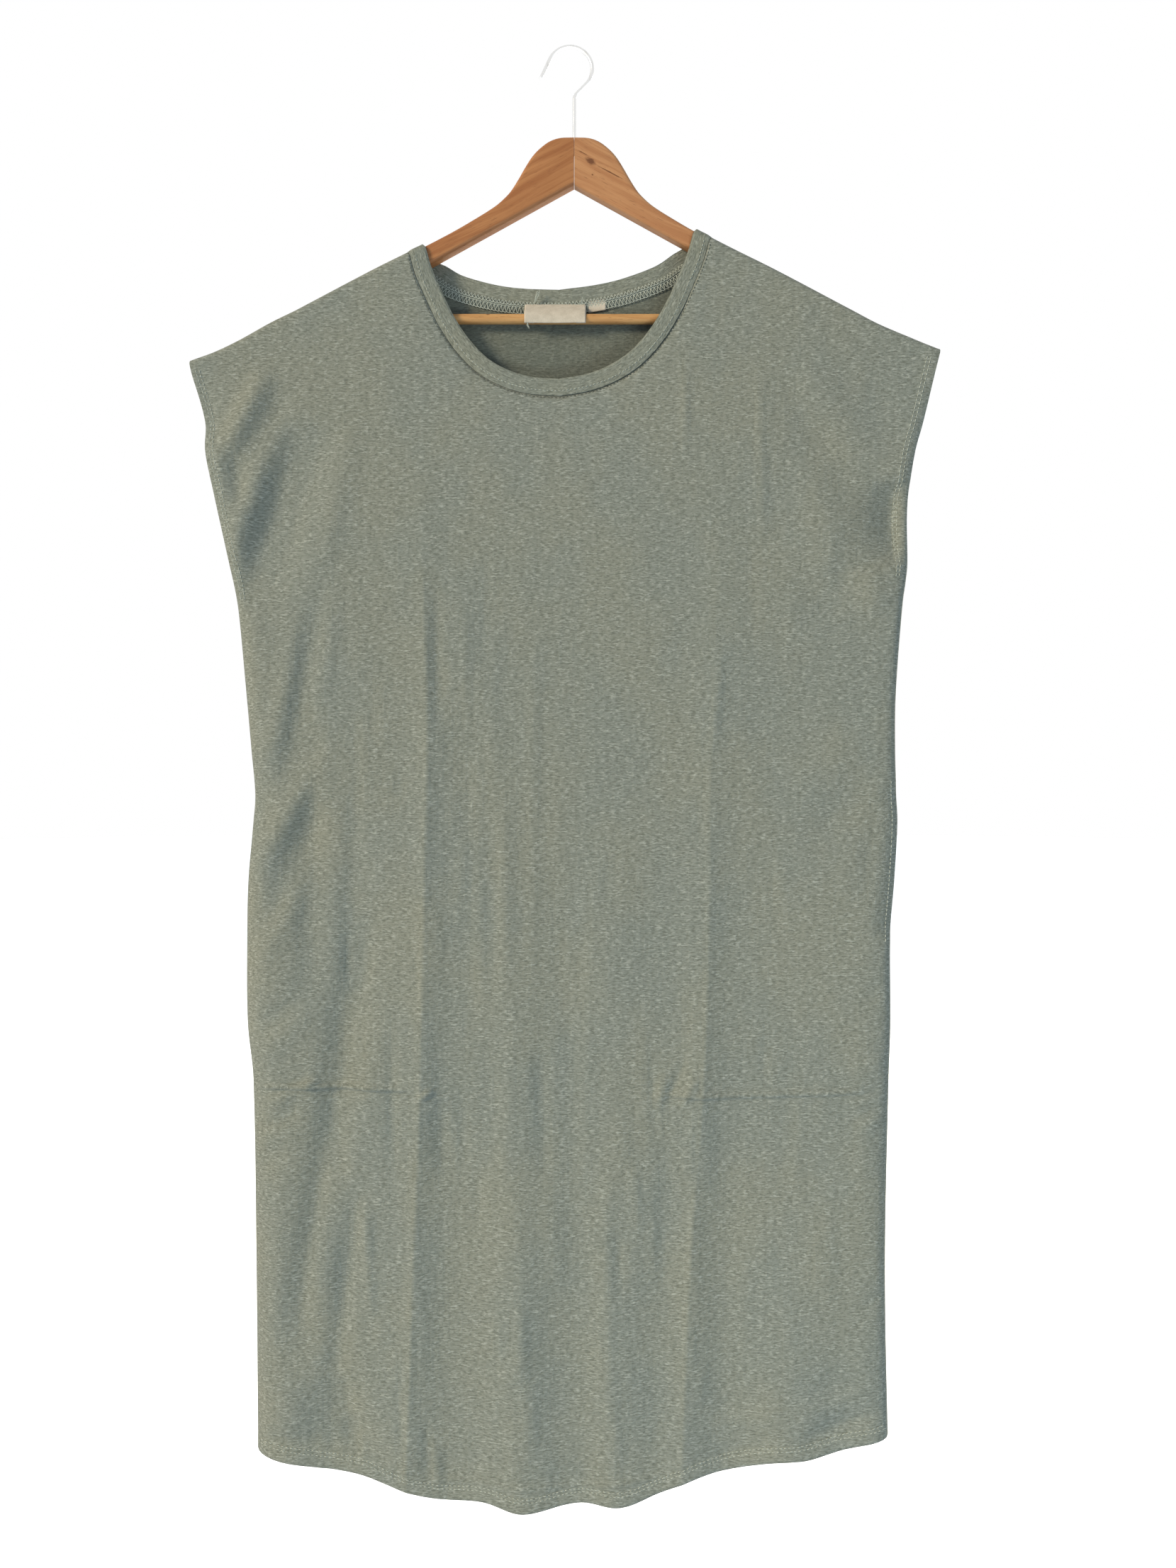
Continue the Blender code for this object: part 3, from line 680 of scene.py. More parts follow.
    def side_edge(self, side: Side, drop: Numbers) -> Numbers:
        """Place across of a side edge."""
        return self.sides.read(side.value, np.maximum(drop, self.for_side(self.tip_drop, side)))

    def pocket_mouth(self, drop: Numbers) -> Numbers:
        """1 along the pocket's mouth, 0 above and below it."""
        top, foot, fade = self.pocket_top, self.pocket_foot, self.pocket_fade
        return ease(top, top + fade, drop) - ease(foot - fade, foot, drop)

    def edge_gape(self, side: Side, drop: Numbers) -> Numbers:
        """Half the opening between the layers at a side edge: the armhole, and the pocket mouth.

        Args:
            side: The side.
            drop: Drops along it.

        Returns:
            Half the opening at each.
        """
        tip = self.for_side(self.tip_drop, side)
        underarm = self.for_side(self.underarm_drop, side)
        share = np.clip((drop - tip) / (underarm - tip), 0.0, 1.0)
        armhole = self.armhole_gape * np.sqrt(1 - share**3)
        if side is Side.LEFT:
            return armhole
        return np.maximum(armhole, self.pocket_gape * self.pocket_mouth(drop))

    def fold_depth(self, layer: Layer, across: Numbers, drop: Numbers) -> Numbers:
        """Depth that the long folds add to a layer.

        Args:
            layer: The layer.
            across: Places across.
            drop: Their drops.

        Returns:
            The added depths.
        """
        total = np.zeros(np.broadcast(across, drop).shape)
        for fold in (self.front_folds if layer is Layer.FRONT else self.back_folds).records():
            share = np.clip((drop - fold["start"]) / (self.fold_foot - fold["start"]), 0.0, 1.0)
            middle = fold["top_across"] + (fold["foot_across"] - fold["top_across"]) * share
            grown = ease(-self.fold_lead, 1, share) * ease(0, self.fold_fade_in, share)
            width = np.where(across < middle, fold["left_width"], fold["right_width"])
            total += fold["depth"] * grown * bell(across - middle, width)
        return total

    def inside_edge(self, across: Numbers, drop: Numbers) -> tuple[Numbers, Numbers]:
        """Distance inside the nearer side edge, and whether that is the left one.

        Args:
            across: Places across.
            drop: Their drops.

        Returns:
            The distances, and True where the left edge is the nearer.
        """
        left = self.side_edge(Side.LEFT, drop)
        right = self.side_edge(Side.RIGHT, drop)
        on_left = across < (left + right) / 2
        return np.where(on_left, across - left, right - across), on_left

    def plain_depth(self, layer: Layer, across: Numbers, drop: Numbers) -> Numbers:
        """Distance of a layer's inner face from the seam plane, as in the CAD source.

        Args:
            layer: The layer.
            across: Places across.
            drop: Their drops.

        Returns:
            The distances.
        """
        full = self.depths.read(layer.value, drop) + self.fold_depth(layer, across, drop)
        inside, on_left = self.inside_edge(across, drop)
        gape = np.where(on_left, self.edge_gape(Side.LEFT, drop), self.edge_gape(Side.RIGHT, drop))
        share = np.clip(inside / self.depths.read("side_roll", drop), 0, 1)
        soft = np.clip(gape / self.armhole_gape, 0, 1)
        fullness = np.where(on_left, *self.side_fullness)
        rounding = (1 - (1 - share) ** fullness) ** (1 / fullness)
        rounding += soft * (np.sin(np.pi / 2 * share) - rounding)
        closed = gape + (full - gape) * rounding
        return self.seam_gap / 2 + closed * quarter_round(self.below_roof(across, drop) / self.roof_roll)

    def turned_edge(self, distance: Numbers, turn: float) -> Numbers:
        """Relief of a turned and twin-needled edge: doubled cloth, dented along the two rows.

        Args:
            distance: Distances inside the edge.
            turn: Distance of the upper row of stitches inside it.

        Returns:
            The heights.
        """
        doubled = self.doubled * (1 - ease(turn - 0.5, turn + 1.8, distance))
        upper = 0.35 * bell(distance - turn, 1.3)
        lower = 0.3 * bell(distance - turn + self.needle_gap, 1.2)
        return doubled - (upper + lower)

    def relief(self, layer: Layer, across: Numbers, drop: Numbers) -> Numbers:
        """Creases and turned edges of a layer, outwards.

        Troughs are held back over the arms, and all creases at the seams, the open edges and the hem.

        Args:
            layer: The layer.
            across: Places across.
            drop: Their drops.

        Returns:
            The heights.
        """
        inside, on_left = self.inside_edge(across, drop)
        creases = FRONT_CREASES if layer is Layer.FRONT else BACK_CREASES
        made = creases.height(across, drop)
        below = self.below_roof(across, drop)
        off_arm = ease(*self.arm_cover, below)
        past_arm = ease(*self.arm_end, np.abs(across - self.hanger_across))
        made = np.where(made < 0, made * np.maximum(off_arm, past_arm), made)
        gape = np.where(on_left, self.edge_gape(Side.LEFT, drop), self.edge_gape(Side.RIGHT, drop))
        at_edge = self.crease_at_armhole * np.clip(gape / self.armhole_gape, 0, 1)
        made *= (at_edge + (1 - at_edge) * ease(0, 12, inside)) * ease(2, 24, below)
        foot = self.hem.read(layer.value, across)
        made *= self.crease_at_hem + (1 - self.crease_at_hem) * ease(0, 20, foot - drop)
        made += self.turned_edge(foot - drop, self.hem_turn)
        for side, here in ((Side.LEFT, on_left), (Side.RIGHT, ~on_left)):
            edge = self.turned_edge(inside, self.for_side(self.armhole_turn, side))
            above_underarm = 1 - ease(-24, -2, drop - self.for_side(self.underarm_drop, side))
            made += here * above_underarm * edge * ease(2, 14, below)
        return made - self.seam_pull(layer, across, drop) * off_arm

    def seam_pull(self, layer: Layer, across: Numbers, drop: Numbers) -> Numbers:
        """How far the neck seam pulls the panel in beside it.

        Args:
            layer: The layer.
            across: Places across.
            drop: Their drops.

        Returns:
            The depths of the dent.
        """
        seam = self.neck_seam(layer)[::4]
        pull = np.zeros(across.shape)
        reach = self.seam_dent_reach
        near = (across > seam[:, 0].min() - reach) & (across < seam[:, 0].max() + reach)
        near &= drop < seam[:, 1].max() + reach
        if near.any():
            here = np.stack([across[near], drop[near]], axis=1)
            away = np.linalg.norm(here[:, None] - nearest_on(seam, here), axis=2).min(1)
            pull[near] = self.seam_dent * bell(away, self.seam_dent_width)
        return pull

    def depth_at(self, layer: Layer, across: Numbers, drop: Numbers) -> Numbers:
        """Distance of a layer's inner face from the seam plane, with its creases."""
        return self.plain_depth(layer, across, drop) + self.relief(layer, across, drop)

    def on_layer(self, layer: Layer, across: Numbers, drop: Numbers) -> Numbers:
        """Points in metres on the inner face of a layer, one a row."""
        depth = self.depth_at(layer, across, drop)
        return np.stack([across, layer.sign * depth, -drop], axis=-1) * MM

    def outside(self, layer: Layer, across: Numbers, drop: Numbers, lift: float) -> tuple[Numbers, Numbers]:
        """Points off the outer face of a layer, and the directions out of it.

        Args:
            layer: The layer.
            across: Places across.
            drop: Places below the origin.
            lift: Height above the inner face, in millimetres.

        Returns:
            The points in metres and the unit directions, one a row.
        """
        step = 0.6
        wide = self.on_layer(layer, across + step, drop) - self.on_layer(layer, across - step, drop)
        tall = self.on_layer(layer, across, drop - step) - self.on_layer(layer, across, drop + step)
        out = np.cross(wide, tall)
        out = unit(out * (np.sign(out[:, 1]) * layer.sign)[:, None])
        return self.on_layer(layer, across, drop) + out * lift * MM, out

    def neck_seam(self, layer: Layer) -> Numbers:
        """The neck seam of a layer, from the left neck point to the right one.

        Args:
            layer: The layer.

        Returns:
            Its points, rows of (across, drop).
        """
        table = self.front_neck if layer is Layer.FRONT else self.back_neck
        bottom = self.neck_bottom[0] if layer is Layer.FRONT else self.neck_bottom[1]
        steps = np.linspace(0, 1, len(table.rows))
        ends = {}
        for side, across in ((Side.LEFT, self.neck_left), (Side.RIGHT, self.neck_right)):
            down = self.roof_direction(side)[1]
            top = np.array([across, float(self.roof_drop(np.array(across)))])
            ends[side] = top + down * self.roof_roll
        left, right = ends[Side.LEFT], ends[Side.RIGHT]
        fall = bottom - (left[1] + right[1]) / 2
        position = np.linspace(-1, 1, 2 * self.neck_steps + 1)
        share = smooth(steps, table.column("across_share"), 1 - np.abs(position))
        across = (left[0] + right[0]) / 2 + np.sign(position) * (right[0] - left[0]) / 2 * share
        slant = (across - left[0]) / (right[0] - left[0])
        level = left[1] + slant * (right[1] - left[1])
        drop = level + fall * smooth(steps, table.column("fall_share"), 1 - np.abs(position))
        return np.stack([across, drop], axis=1)


def walked(points: Numbers) -> Numbers:
    """Distance walked along a line of points up to each of them."""
    return np.concatenate([[0.0], np.cumsum(np.linalg.norm(np.diff(points, axis=0), axis=1))])


def along_line(points: Numbers, places: Numbers) -> Numbers:
    """Points at given distances along a line of points."""
    reach = walked(points)
    return np.stack([np.interp(places, reach, points[:, k]) for k in range(points.shape[1])], axis=1)


def square_to(points: Numbers) -> Numbers:
    """Unit steps square to a flat line, to the right of its run with drop taken downwards."""
    run = unit(np.gradient(points, axis=0))
    return np.stack([run[:, 1], -run[:, 0]], axis=1)


def unit(vectors: Numbers) -> Numbers:
    """Rows of vectors, each brought to length 1."""
    return vectors / np.linalg.norm(vectors, axis=-1)[..., None]


def nearest_on(line: Numbers, points: Numbers) -> Numbers:
    """The place on each piece of a line that lies nearest to each point.

    Args:
        line: The line's points.
        points: The points, one a row.

    Returns:
        The places, a row for each point and a column for each piece.
    """
    run = np.diff(line, axis=0)
    share = ((points[:, None] - line[:-1]) * run).sum(2) / (run**2).sum(1)
    return line[:-1] + np.clip(share, 0, 1)[..., None] * run


# Meshes


class Builder:
    """Makes the scene's objects, puts them on the CAD body and reports them."""

    def __init__(self) -> None:
        """Start with nothing made."""
        self.made: list[bpy.types.Object] = []

    def piece(
        self,
        name: str,
        mesh: bpy.types.ID,
        finish: bpy.types.Material,
        slot: str,
        replaces: Sequence[str] = (),
    ) -> bpy.types.Object:
        """Put a mesh or curve on the body as a piece.

        Args:
            name: Name of the piece.
            mesh: Its mesh or curve.
            finish: Its material.
            slot: Name of a material slot; not used.
            replaces: CAD nodes that it stands for.

        Returns:
            The new object.
        """
        mesh.materials.clear()
        mesh.materials.append(finish)
        made = bpy.data.objects.new(name, mesh)
        bpy.context.scene.collection.objects.link(made)
        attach(made, BODY)
        if replaces:
            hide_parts(*replaces)
        self.made.append(made)
        LOG.info("%s: made%s", name, " for " + ", ".join(replaces) if replaces else "")
        return made


def mesh_from(
    name: str,
    points: Numbers,
    faces: Iterable[Sequence[int]],
    flat: Numbers | None = None,
) -> bpy.types.Mesh:
    """Make a smooth shaded mesh.

    Args:
        name: Name of the mesh.
        points: Its points in metres, one a row.
        faces: Its faces.
        flat: Place of each point on the flat cloth in metres, for the map that the knit follows.

    Returns:
        The mesh, without points that no face uses.
    """
    faces = [tuple(int(i) for i in face) for face in faces]
    used = np.unique([i for face in faces for i in face])
    renumber = np.zeros(len(points), int)
    renumber[used] = np.arange(len(used))
    mesh = bpy.data.meshes.new(name)
    mesh.from_pydata(points[used].tolist(), [], [[int(renumber[i]) for i in face] for face in faces])
    mesh.shade_smooth()
    if flat is not None:
        corner = np.zeros(len(mesh.loops), np.int32)
        mesh.loops.foreach_get("vertex_index", corner)
        layer = mesh.uv_layers.new(name="cloth")
        layer.uv.foreach_set("vector", flat[used][corner].astype(np.float32).ravel())
    mesh.update()
    return mesh


def grid_faces(rows: int, columns: int, flip: bool, ring: bool = False, closed: bool = False) -> Faces:
    """Faces of a grid of points, numbered along its rows.

    Args:
        rows: Rows of faces.
        columns: Columns of faces.
        flip: Whether the faces turn the other way.
        ring: Whether the last column joins the first.
        closed: Whether the last row joins the first.

    Returns:
        The faces.
    """
    wide = columns if ring else columns + 1
    made = []
    for r in range(rows):
        low = r * wide
        high = 0 if closed and r == rows - 1 else low + wide
        for c in range(columns):
            d = (c + 1) % wide
            face = (low + c, low + d, high + d, high + c)
            made.append(face[::-1] if flip else face)
    return made


def face_outwards(mesh: bpy.types.Mesh) -> None:
    """Turn the faces of a closed mesh outwards.

    Args:
        mesh: The mesh.
    """
    shape = bmesh.new()
    shape.from_mesh(mesh)
    bmesh.ops.recalc_face_normals(shape, faces=shape.faces)
    shape.to_mesh(mesh)
    shape.free()


def thicken(piece: bpy.types.Object, thickness: float, wrong_side_with_painted_shade: bpy.types.Material | None = None) -> None:
    """Give a sheet its thickness, out of its inner face.

    Args:
        piece: The sheet.
        thickness: Its thickness in millimetres.
        wrong_side_with_painted_shade: Finish of its inner face, where that differs: on the panels a darker,
            cooler jersey, partly the duller wrong side of the knit and partly painted shade.
    """
    wall = piece.modifiers.new("thickness", "SOLIDIFY")
    wall.thickness = thickness * MM
    wall.offset = 1
    wall.use_even_offset = True
    wall.use_quality_normals = True
    if wrong_side_with_painted_shade:
        piece.data.materials.append(wrong_side_with_painted_shade)
        wall.material_offset = 1


# Panels


@dataclass
class Panel:
    """Front or back of the dress, with its half of both caps, as one fine sheet.

    Attributes:
        form: Shape of the cloth.
        layer: Which of the two it is.
        columns: Columns outside the left crease, between the long creases, and outside the right one.
        rows: Rows between the shoulder roll and the hem's rows, apart from the close level ones.
        roll_columns: Columns in the roll at a side edge.
        roll_rows: Rows in the roll at the shoulder line.
        level_rows: Close rows about the level creases.
        level_reach: How far those rows reach above and below.
        hem_rows: Close rows above the hem.
        hem_reach: Height of the hem's rows.
        even_drops: Drops between which the rows above and below the level creases are shared out.
        snap: How near to the neck seam a grid point is moved onto it.
        neck_reach: How far beyond the shoulder line the neck's cut is carried on.
    """

    form: DressForm
    layer: Layer
    columns: tuple[int, int, int] = (46, 84, 46)
    rows: int = 200
    roll_columns: int = 8
    roll_rows: int = 7
    level_rows: int = 20
    level_reach: float = 8.0
    hem_rows: int = 14
    hem_reach: float = 27.0
    even_drops: tuple[float, float] = (300.0, 1130.0)
    snap: float = 1.0
    neck_reach: float = 30.0

    @property
    def creases(self) -> Creases:
        """The creases of this layer."""
        return FRONT_CREASES if self.layer is Layer.FRONT else BACK_CREASES

    def place_across(self, at: Numbers, drop: Numbers) -> Numbers:
        """Place across of grid columns, with a column on each long crease and close ones beside it.

        Args:
            at: Numbers of the columns.
            drop: Drops at which they are placed.

        Returns:
            The places across.
        """
        left = self.form.side_edge(Side.LEFT, drop)
        right = self.form.side_edge(Side.RIGHT, drop)
        roll = self.form.depths.read("side_roll", drop)
        last = sum(self.columns) + 2 * self.roll_columns
        near_left = np.clip(at / self.roll_columns, 0, 1)
        near_right = np.clip((last - at) / self.roll_columns, 0, 1)
        from_left = left + roll * (1 - np.cos(np.pi / 2 * near_left))
        from_right = right - roll * (1 - np.cos(np.pi / 2 * near_right))
        left_crease = self.creases.pressed[0].path.read("across", drop)
        right_crease = self.creases.pressed[1].path.read("across", drop)
        first = self.roll_columns
        second = first + self.columns[0]
        third = second + self.columns[1]
        t = np.clip((at - first) / self.columns[0], 0, 1)
        share = 0.45 * t + 0.55 * np.sin(np.pi / 2 * t)
        outer_left = left + roll + (left_crease - left - roll) * share
        t = np.clip((at - second) / self.columns[1], 0, 1)
        share = t - 0.5 * np.sin(2 * np.pi * t) / (2 * np.pi)
        inner = left_crease + (right_crease - left_crease) * share
        t = np.clip((at - third) / self.columns[2], 0, 1)
        share = 0.45 * t + 0.55 * (1 - np.cos(np.pi / 2 * t))
        outer_right = right_crease + (right - roll - right_crease) * share
        made = np.where(at < second, outer_left, np.where(at < third, inner, outer_right))
        return np.where(near_left < 1, from_left, np.where(near_right < 1, from_right, made))

    def grid(self) -> tuple[Numbers, Numbers]:
        """The grid's points before the neck is cut.

        Returns:
            Their places across and their drops, a row for each level line of the grid.
        """
        form = self.form
        wide = sum(self.columns) + 2 * self.roll_columns + 1
        at = np.arange(wide, dtype=float)
        shoulder = form.depths.column("drop")[0]
        roof = form.roof_drop(self.place_across(at, shoulder))
        lean = math.hypot(1, form.arm_slope)
        side_foot = form.sides.column("drop")[-1]
        foot = form.hem.read(self.layer.value, self.place_across(at, side_foot))
        lines = []
        for r in range(self.roll_rows + 1):
            lines.append(roof + form.roof_roll * (1 - math.cos(math.pi / 2 * r / self.roll_rows)) * lean)
        start = lines[-1]
        level = self.creases.level_drop
        highest, lowest = self.even_drops
        above = round(self.rows * (level - highest) / (lowest - highest))
        for r in range(1, above + 1):
            lines.append(start + (level - self.level_reach - start) * r / above)
        for r in range(1, self.level_rows + 1):
            lines.append(lines[above + self.roll_rows] + 2 * self.level_reach * r / self.level_rows)
        start = lines[-1]
        for r in range(1, self.rows - above + 1):
            lines.append(start + (foot - self.hem_reach - start) * r / (self.rows - above))
        for r in range(1, self.hem_rows + 1):
            lines.append(foot - self.hem_reach * (1 - r / self.hem_rows))
        drop = np.stack(lines)
        across = self.place_across(np.broadcast_to(at, drop.shape), drop)
        return across, drop

    def laid_flat(self, points: Numbers) -> Numbers:
        """Places of points on the flat cloth, let out where the sides roll back.

        Args:
            points: The points, rows of (across, drop).

        Returns:
            Their places on the cloth, rows of (across, drop).
        """
        across, drop = points[:, 0], points[:, 1]
        roll = self.form.depths.read("side_roll", drop)
        left = self.form.side_edge(Side.LEFT, drop) + roll
        right = self.form.side_edge(Side.RIGHT, drop) - roll
        inner = np.clip(across, left, right)
        flat_depth = self.form.plain_depth(self.layer, inner, drop)
        fall = flat_depth - self.form.plain_depth(self.layer, across, drop)
        return np.stack([across + np.sign(across - inner) * fall, drop], axis=1)

    def neck_line(self) -> Numbers:
        """The neck seam, carried on at both ends to above the shoulder line.

        Returns:
            Its points, rows of (across, drop).
        """
        seam = self.form.neck_seam(self.layer)
        left = seam[0] - self.form.roof_direction(Side.LEFT)[1] * self.neck_reach
        right = seam[-1] - self.form.roof_direction(Side.RIGHT)[1] * self.neck_reach
        return np.concatenate([[left], seam, [right]])

    def cut_neck(self, points: Numbers, faces: Faces) -> tuple[Numbers, Faces]:
        """Cut the neck opening out of the grid, along its seam.

        Args:
            points: The grid's points, rows of (across, drop).
            faces: Its faces.

        Returns:
            The points, with those made along the cut, and the faces that are left.
        """
        line = self.neck_line()
        near = points[:, 1] < line[:, 1].max() + 12
        near &= (points[:, 0] > line[:, 0].min() - 12) & (points[:, 0] < line[:, 0].max() + 12)
        chosen = np.flatnonzero(near)
        here = points[chosen]
        foot = nearest_on(line, here)
        gap = np.linalg.norm(here[:, None] - foot, axis=2)
        nearest = gap.argmin(1)
        closest = foot[np.arange(len(here)), nearest]
        ring = np.concatenate([line, line[:1]])
        low, high = ring[:-1], ring[1:]
        crosses = (low[:, 1] > here[:, None, 1]) != (high[:, 1] > here[:, None, 1])
        fall = np.where(high[:, 1] == low[:, 1], 1.0, high[:, 1] - low[:, 1])
        at = low[:, 0] + (here[:, None, 1] - low[:, 1]) / fall * (high[:, 0] - low[:, 0])
        in_hole = (crosses & (here[:, None, 0] < at)).sum(1) % 2 == 1
        away = np.full(len(points), 1e3)
        away[chosen] = gap.min(1) * np.where(in_hole, -1, 1)
        snapped = chosen[np.abs(away[chosen]) < self.snap]
        points = points.copy()
        points[snapped] = closest[np.abs(away[chosen]) < self.snap]
        away[snapped] = 0.0
        made = points.tolist()
        on_edge: dict[tuple[int, int], int] = {}
        kept = []
        for face in faces:
            values = [away[i] for i in face]
            if min(values) >= 0:
                if max(values) > 0:
                    kept.append(face)
                continue
            if max(values) <= 0:
                continue
            corners = []
            for i, j in zip(face, face[1:] + face[:1]):
                if away[i] >= 0:
                    corners.append(i)
                if away[i] * away[j] < 0:
                    key = (min(i, j), max(i, j))
                    if key not in on_edge:
                        part = away[key[0]] / (away[key[0]] - away[key[1]])
                        on_edge[key] = len(made)
                        made.append(list(points[key[0]] + part * (points[key[1]] - points[key[0]])))
                    corners.append(on_edge[key])
            if len(corners) > 2:
                kept.append(tuple(corners))
        return np.array(made), kept

    def build(
        self, builder: Builder, finish: bpy.types.Material, wrong_side_with_painted_shade: bpy.types.Material
    ) -> bpy.types.Object:
        """Make the panel.

        Args:
            builder: Puts it on the body.
            finish: Finish of its outside.
            wrong_side_with_painted_shade: Finish of its inside, a darker and cooler jersey: partly the
                duller wrong side, partly painted shade for the shadow inside the dress.

        Returns:
            The panel.
        """
        across, drop = self.grid()
        points = np.stack([across.ravel(), drop.ravel()], axis=1)
        faces = grid_faces(across.shape[0] - 1, across.shape[1] - 1, flip=self.layer is Layer.FRONT)
        points, faces = self.cut_neck(points, faces)
        placed = self.form.on_layer(self.layer, points[:, 0], points[:, 1])
        flat = self.laid_flat(points) * np.array([1, -1]) * MM
        name = self.layer.value + "_cloth"
        mesh = mesh_from(name, placed, faces, flat)
        piece = builder.piece(name, mesh, finish, "jersey", [self.layer.value + "_panel"])
        thicken(piece, self.form.cloth, wrong_side_with_painted_shade)
        return piece


@dataclass
class Neckband:
    """The folded band round the neck, passing over both arms of the hanger.

    Attributes:
        form: Shape of the cloth.
        roll_steps: Sections from the shoulder line down to the start of a neck seam.
        rows: Rows across the band.
        fold_radius: Radius of its folded edge.
        edge_share: Share of its thickness that is left at that edge.
    """

    form: DressForm
    roll_steps: int = 9
    rows: int = 12
    fold_radius: float = 1.4
    edge_share: float = 0.12

    def sections(self, layer: Layer) -> list[tuple[Numbers, Numbers]]:
        """Sections of the band along one neck seam.

        Args:
            layer: The layer whose seam it is.

        Returns:
            The seam point and the direction to the free edge of each section.
        """
        points = self.form.neck_seam(layer)
        reach = walked(points)
        square = square_to(points)
        made = []
        for i, point in enumerate(points):
            side = Side.LEFT if i <= len(points) // 2 else Side.RIGHT
            along = self.form.roof_direction(side)[0]
            turn = float(ease(0, self.form.neck_turn, min(reach[i], reach[-1] - reach[i])))
            blend = along + (square[i] - along) * turn
            made.append((point, blend / np.linalg.norm(blend)))
        return made

    def roll(self, side: Side) -> list[tuple[Numbers, Numbers]]:
        """Sections of the band from the shoulder line down to the start of the neck seam.

        Args:
            side: The side.

        Returns:
            The seam point and the direction to the free edge of each section.
        """
        across = self.form.neck_left if side is Side.LEFT else self.form.neck_right
        along, down = self.form.roof_direction(side)
        top = np.array([across, float(self.form.roof_drop(np.array(across)))])
        angles = np.linspace(0, math.pi / 2, self.roll_steps + 1)[:-1]
        return [(top + down * self.form.roof_roll * (1 - math.cos(a)), along) for a in angles]

    def build(self, builder: Builder, finish: bpy.types.Material) -> bpy.types.Object:
        """Make the band as a closed tube, thin at its seam and rounded at its fold.

        Args:
            builder: Puts it on the body.
            finish: Its finish.

        Returns:
            The band.
        """
        form = self.form
        left, right = self.roll(Side.LEFT), self.roll(Side.RIGHT)
        front = [(Layer.FRONT, s) for s in left + self.sections(Layer.FRONT) + right[::-1]]
        back = [(Layer.BACK, s) for s in (left + self.sections(Layer.BACK) + right[::-1])[::-1]]
        ring = front + back
        shares = 1 - np.cos(np.linspace(0, math.pi / 2, self.rows + 1)) ** 1.4
        places = form.seam_gap + (form.band_width - form.seam_gap) * shares
        inner = np.zeros((len(ring), self.rows + 1, 3))
        for layer in Layer:
            chosen = [i for i, (of, _) in enumerate(ring) if of is layer]
            seam = np.array([ring[i][1][0] for i in chosen])
            toward = np.array([ring[i][1][1] for i in chosen])
            at = seam[:, None] + toward[:, None] * places[None, :, None]
            depth = form.plain_depth(layer, at[..., 0], at[..., 1])
            inner[chosen] = np.stack([at[..., 0], layer.sign * depth, -at[..., 1]], axis=-1) * MM
        run = np.roll(inner, -1, axis=0) - np.roll(inner, 1, axis=0)
        out = unit(np.cross(run, np.gradient(inner, axis=1)))
        front_middle = len(left) + form.neck_steps
        if out[front_middle, 2, 1] > 0:
            out = -out
        rounding = quarter_round((form.band_width - places) / self.fold_radius)
        puff = 0.82 + 0.18 * ease(0, 4, places - form.seam_gap) + 0.05 * np.sin(places * 0.42)
        thickness = puff * (self.edge_share + (1 - self.edge_share) * rounding)
        lift = self.edge_share * (1 - rounding)
        lower = inner + out * (lift * form.band_cloth * MM)[None, :, None]
        upper = inner + out * (form.band_cloth * thickness * MM)[None, :, None]
        loop = np.concatenate([upper, lower[:, ::-1]], axis=1)
        faces = grid_faces(len(ring), loop.shape[1], flip=False, ring=True, closed=True)
        flat = np.zeros((*loop.shape[:2], 2))
        flat[..., 0] = walked(inner[:, self.rows // 2])[:, None]
        flat[..., 1] = np.concatenate([places, places[::-1]])[None] * MM
        mesh = mesh_from("neckband_cloth", loop.reshape(-1, 3), faces, flat.reshape(-1, 2))
        face_outwards(mesh)
        return builder.piece("neckband_cloth", mesh, finish, "jersey", ["neckband"])


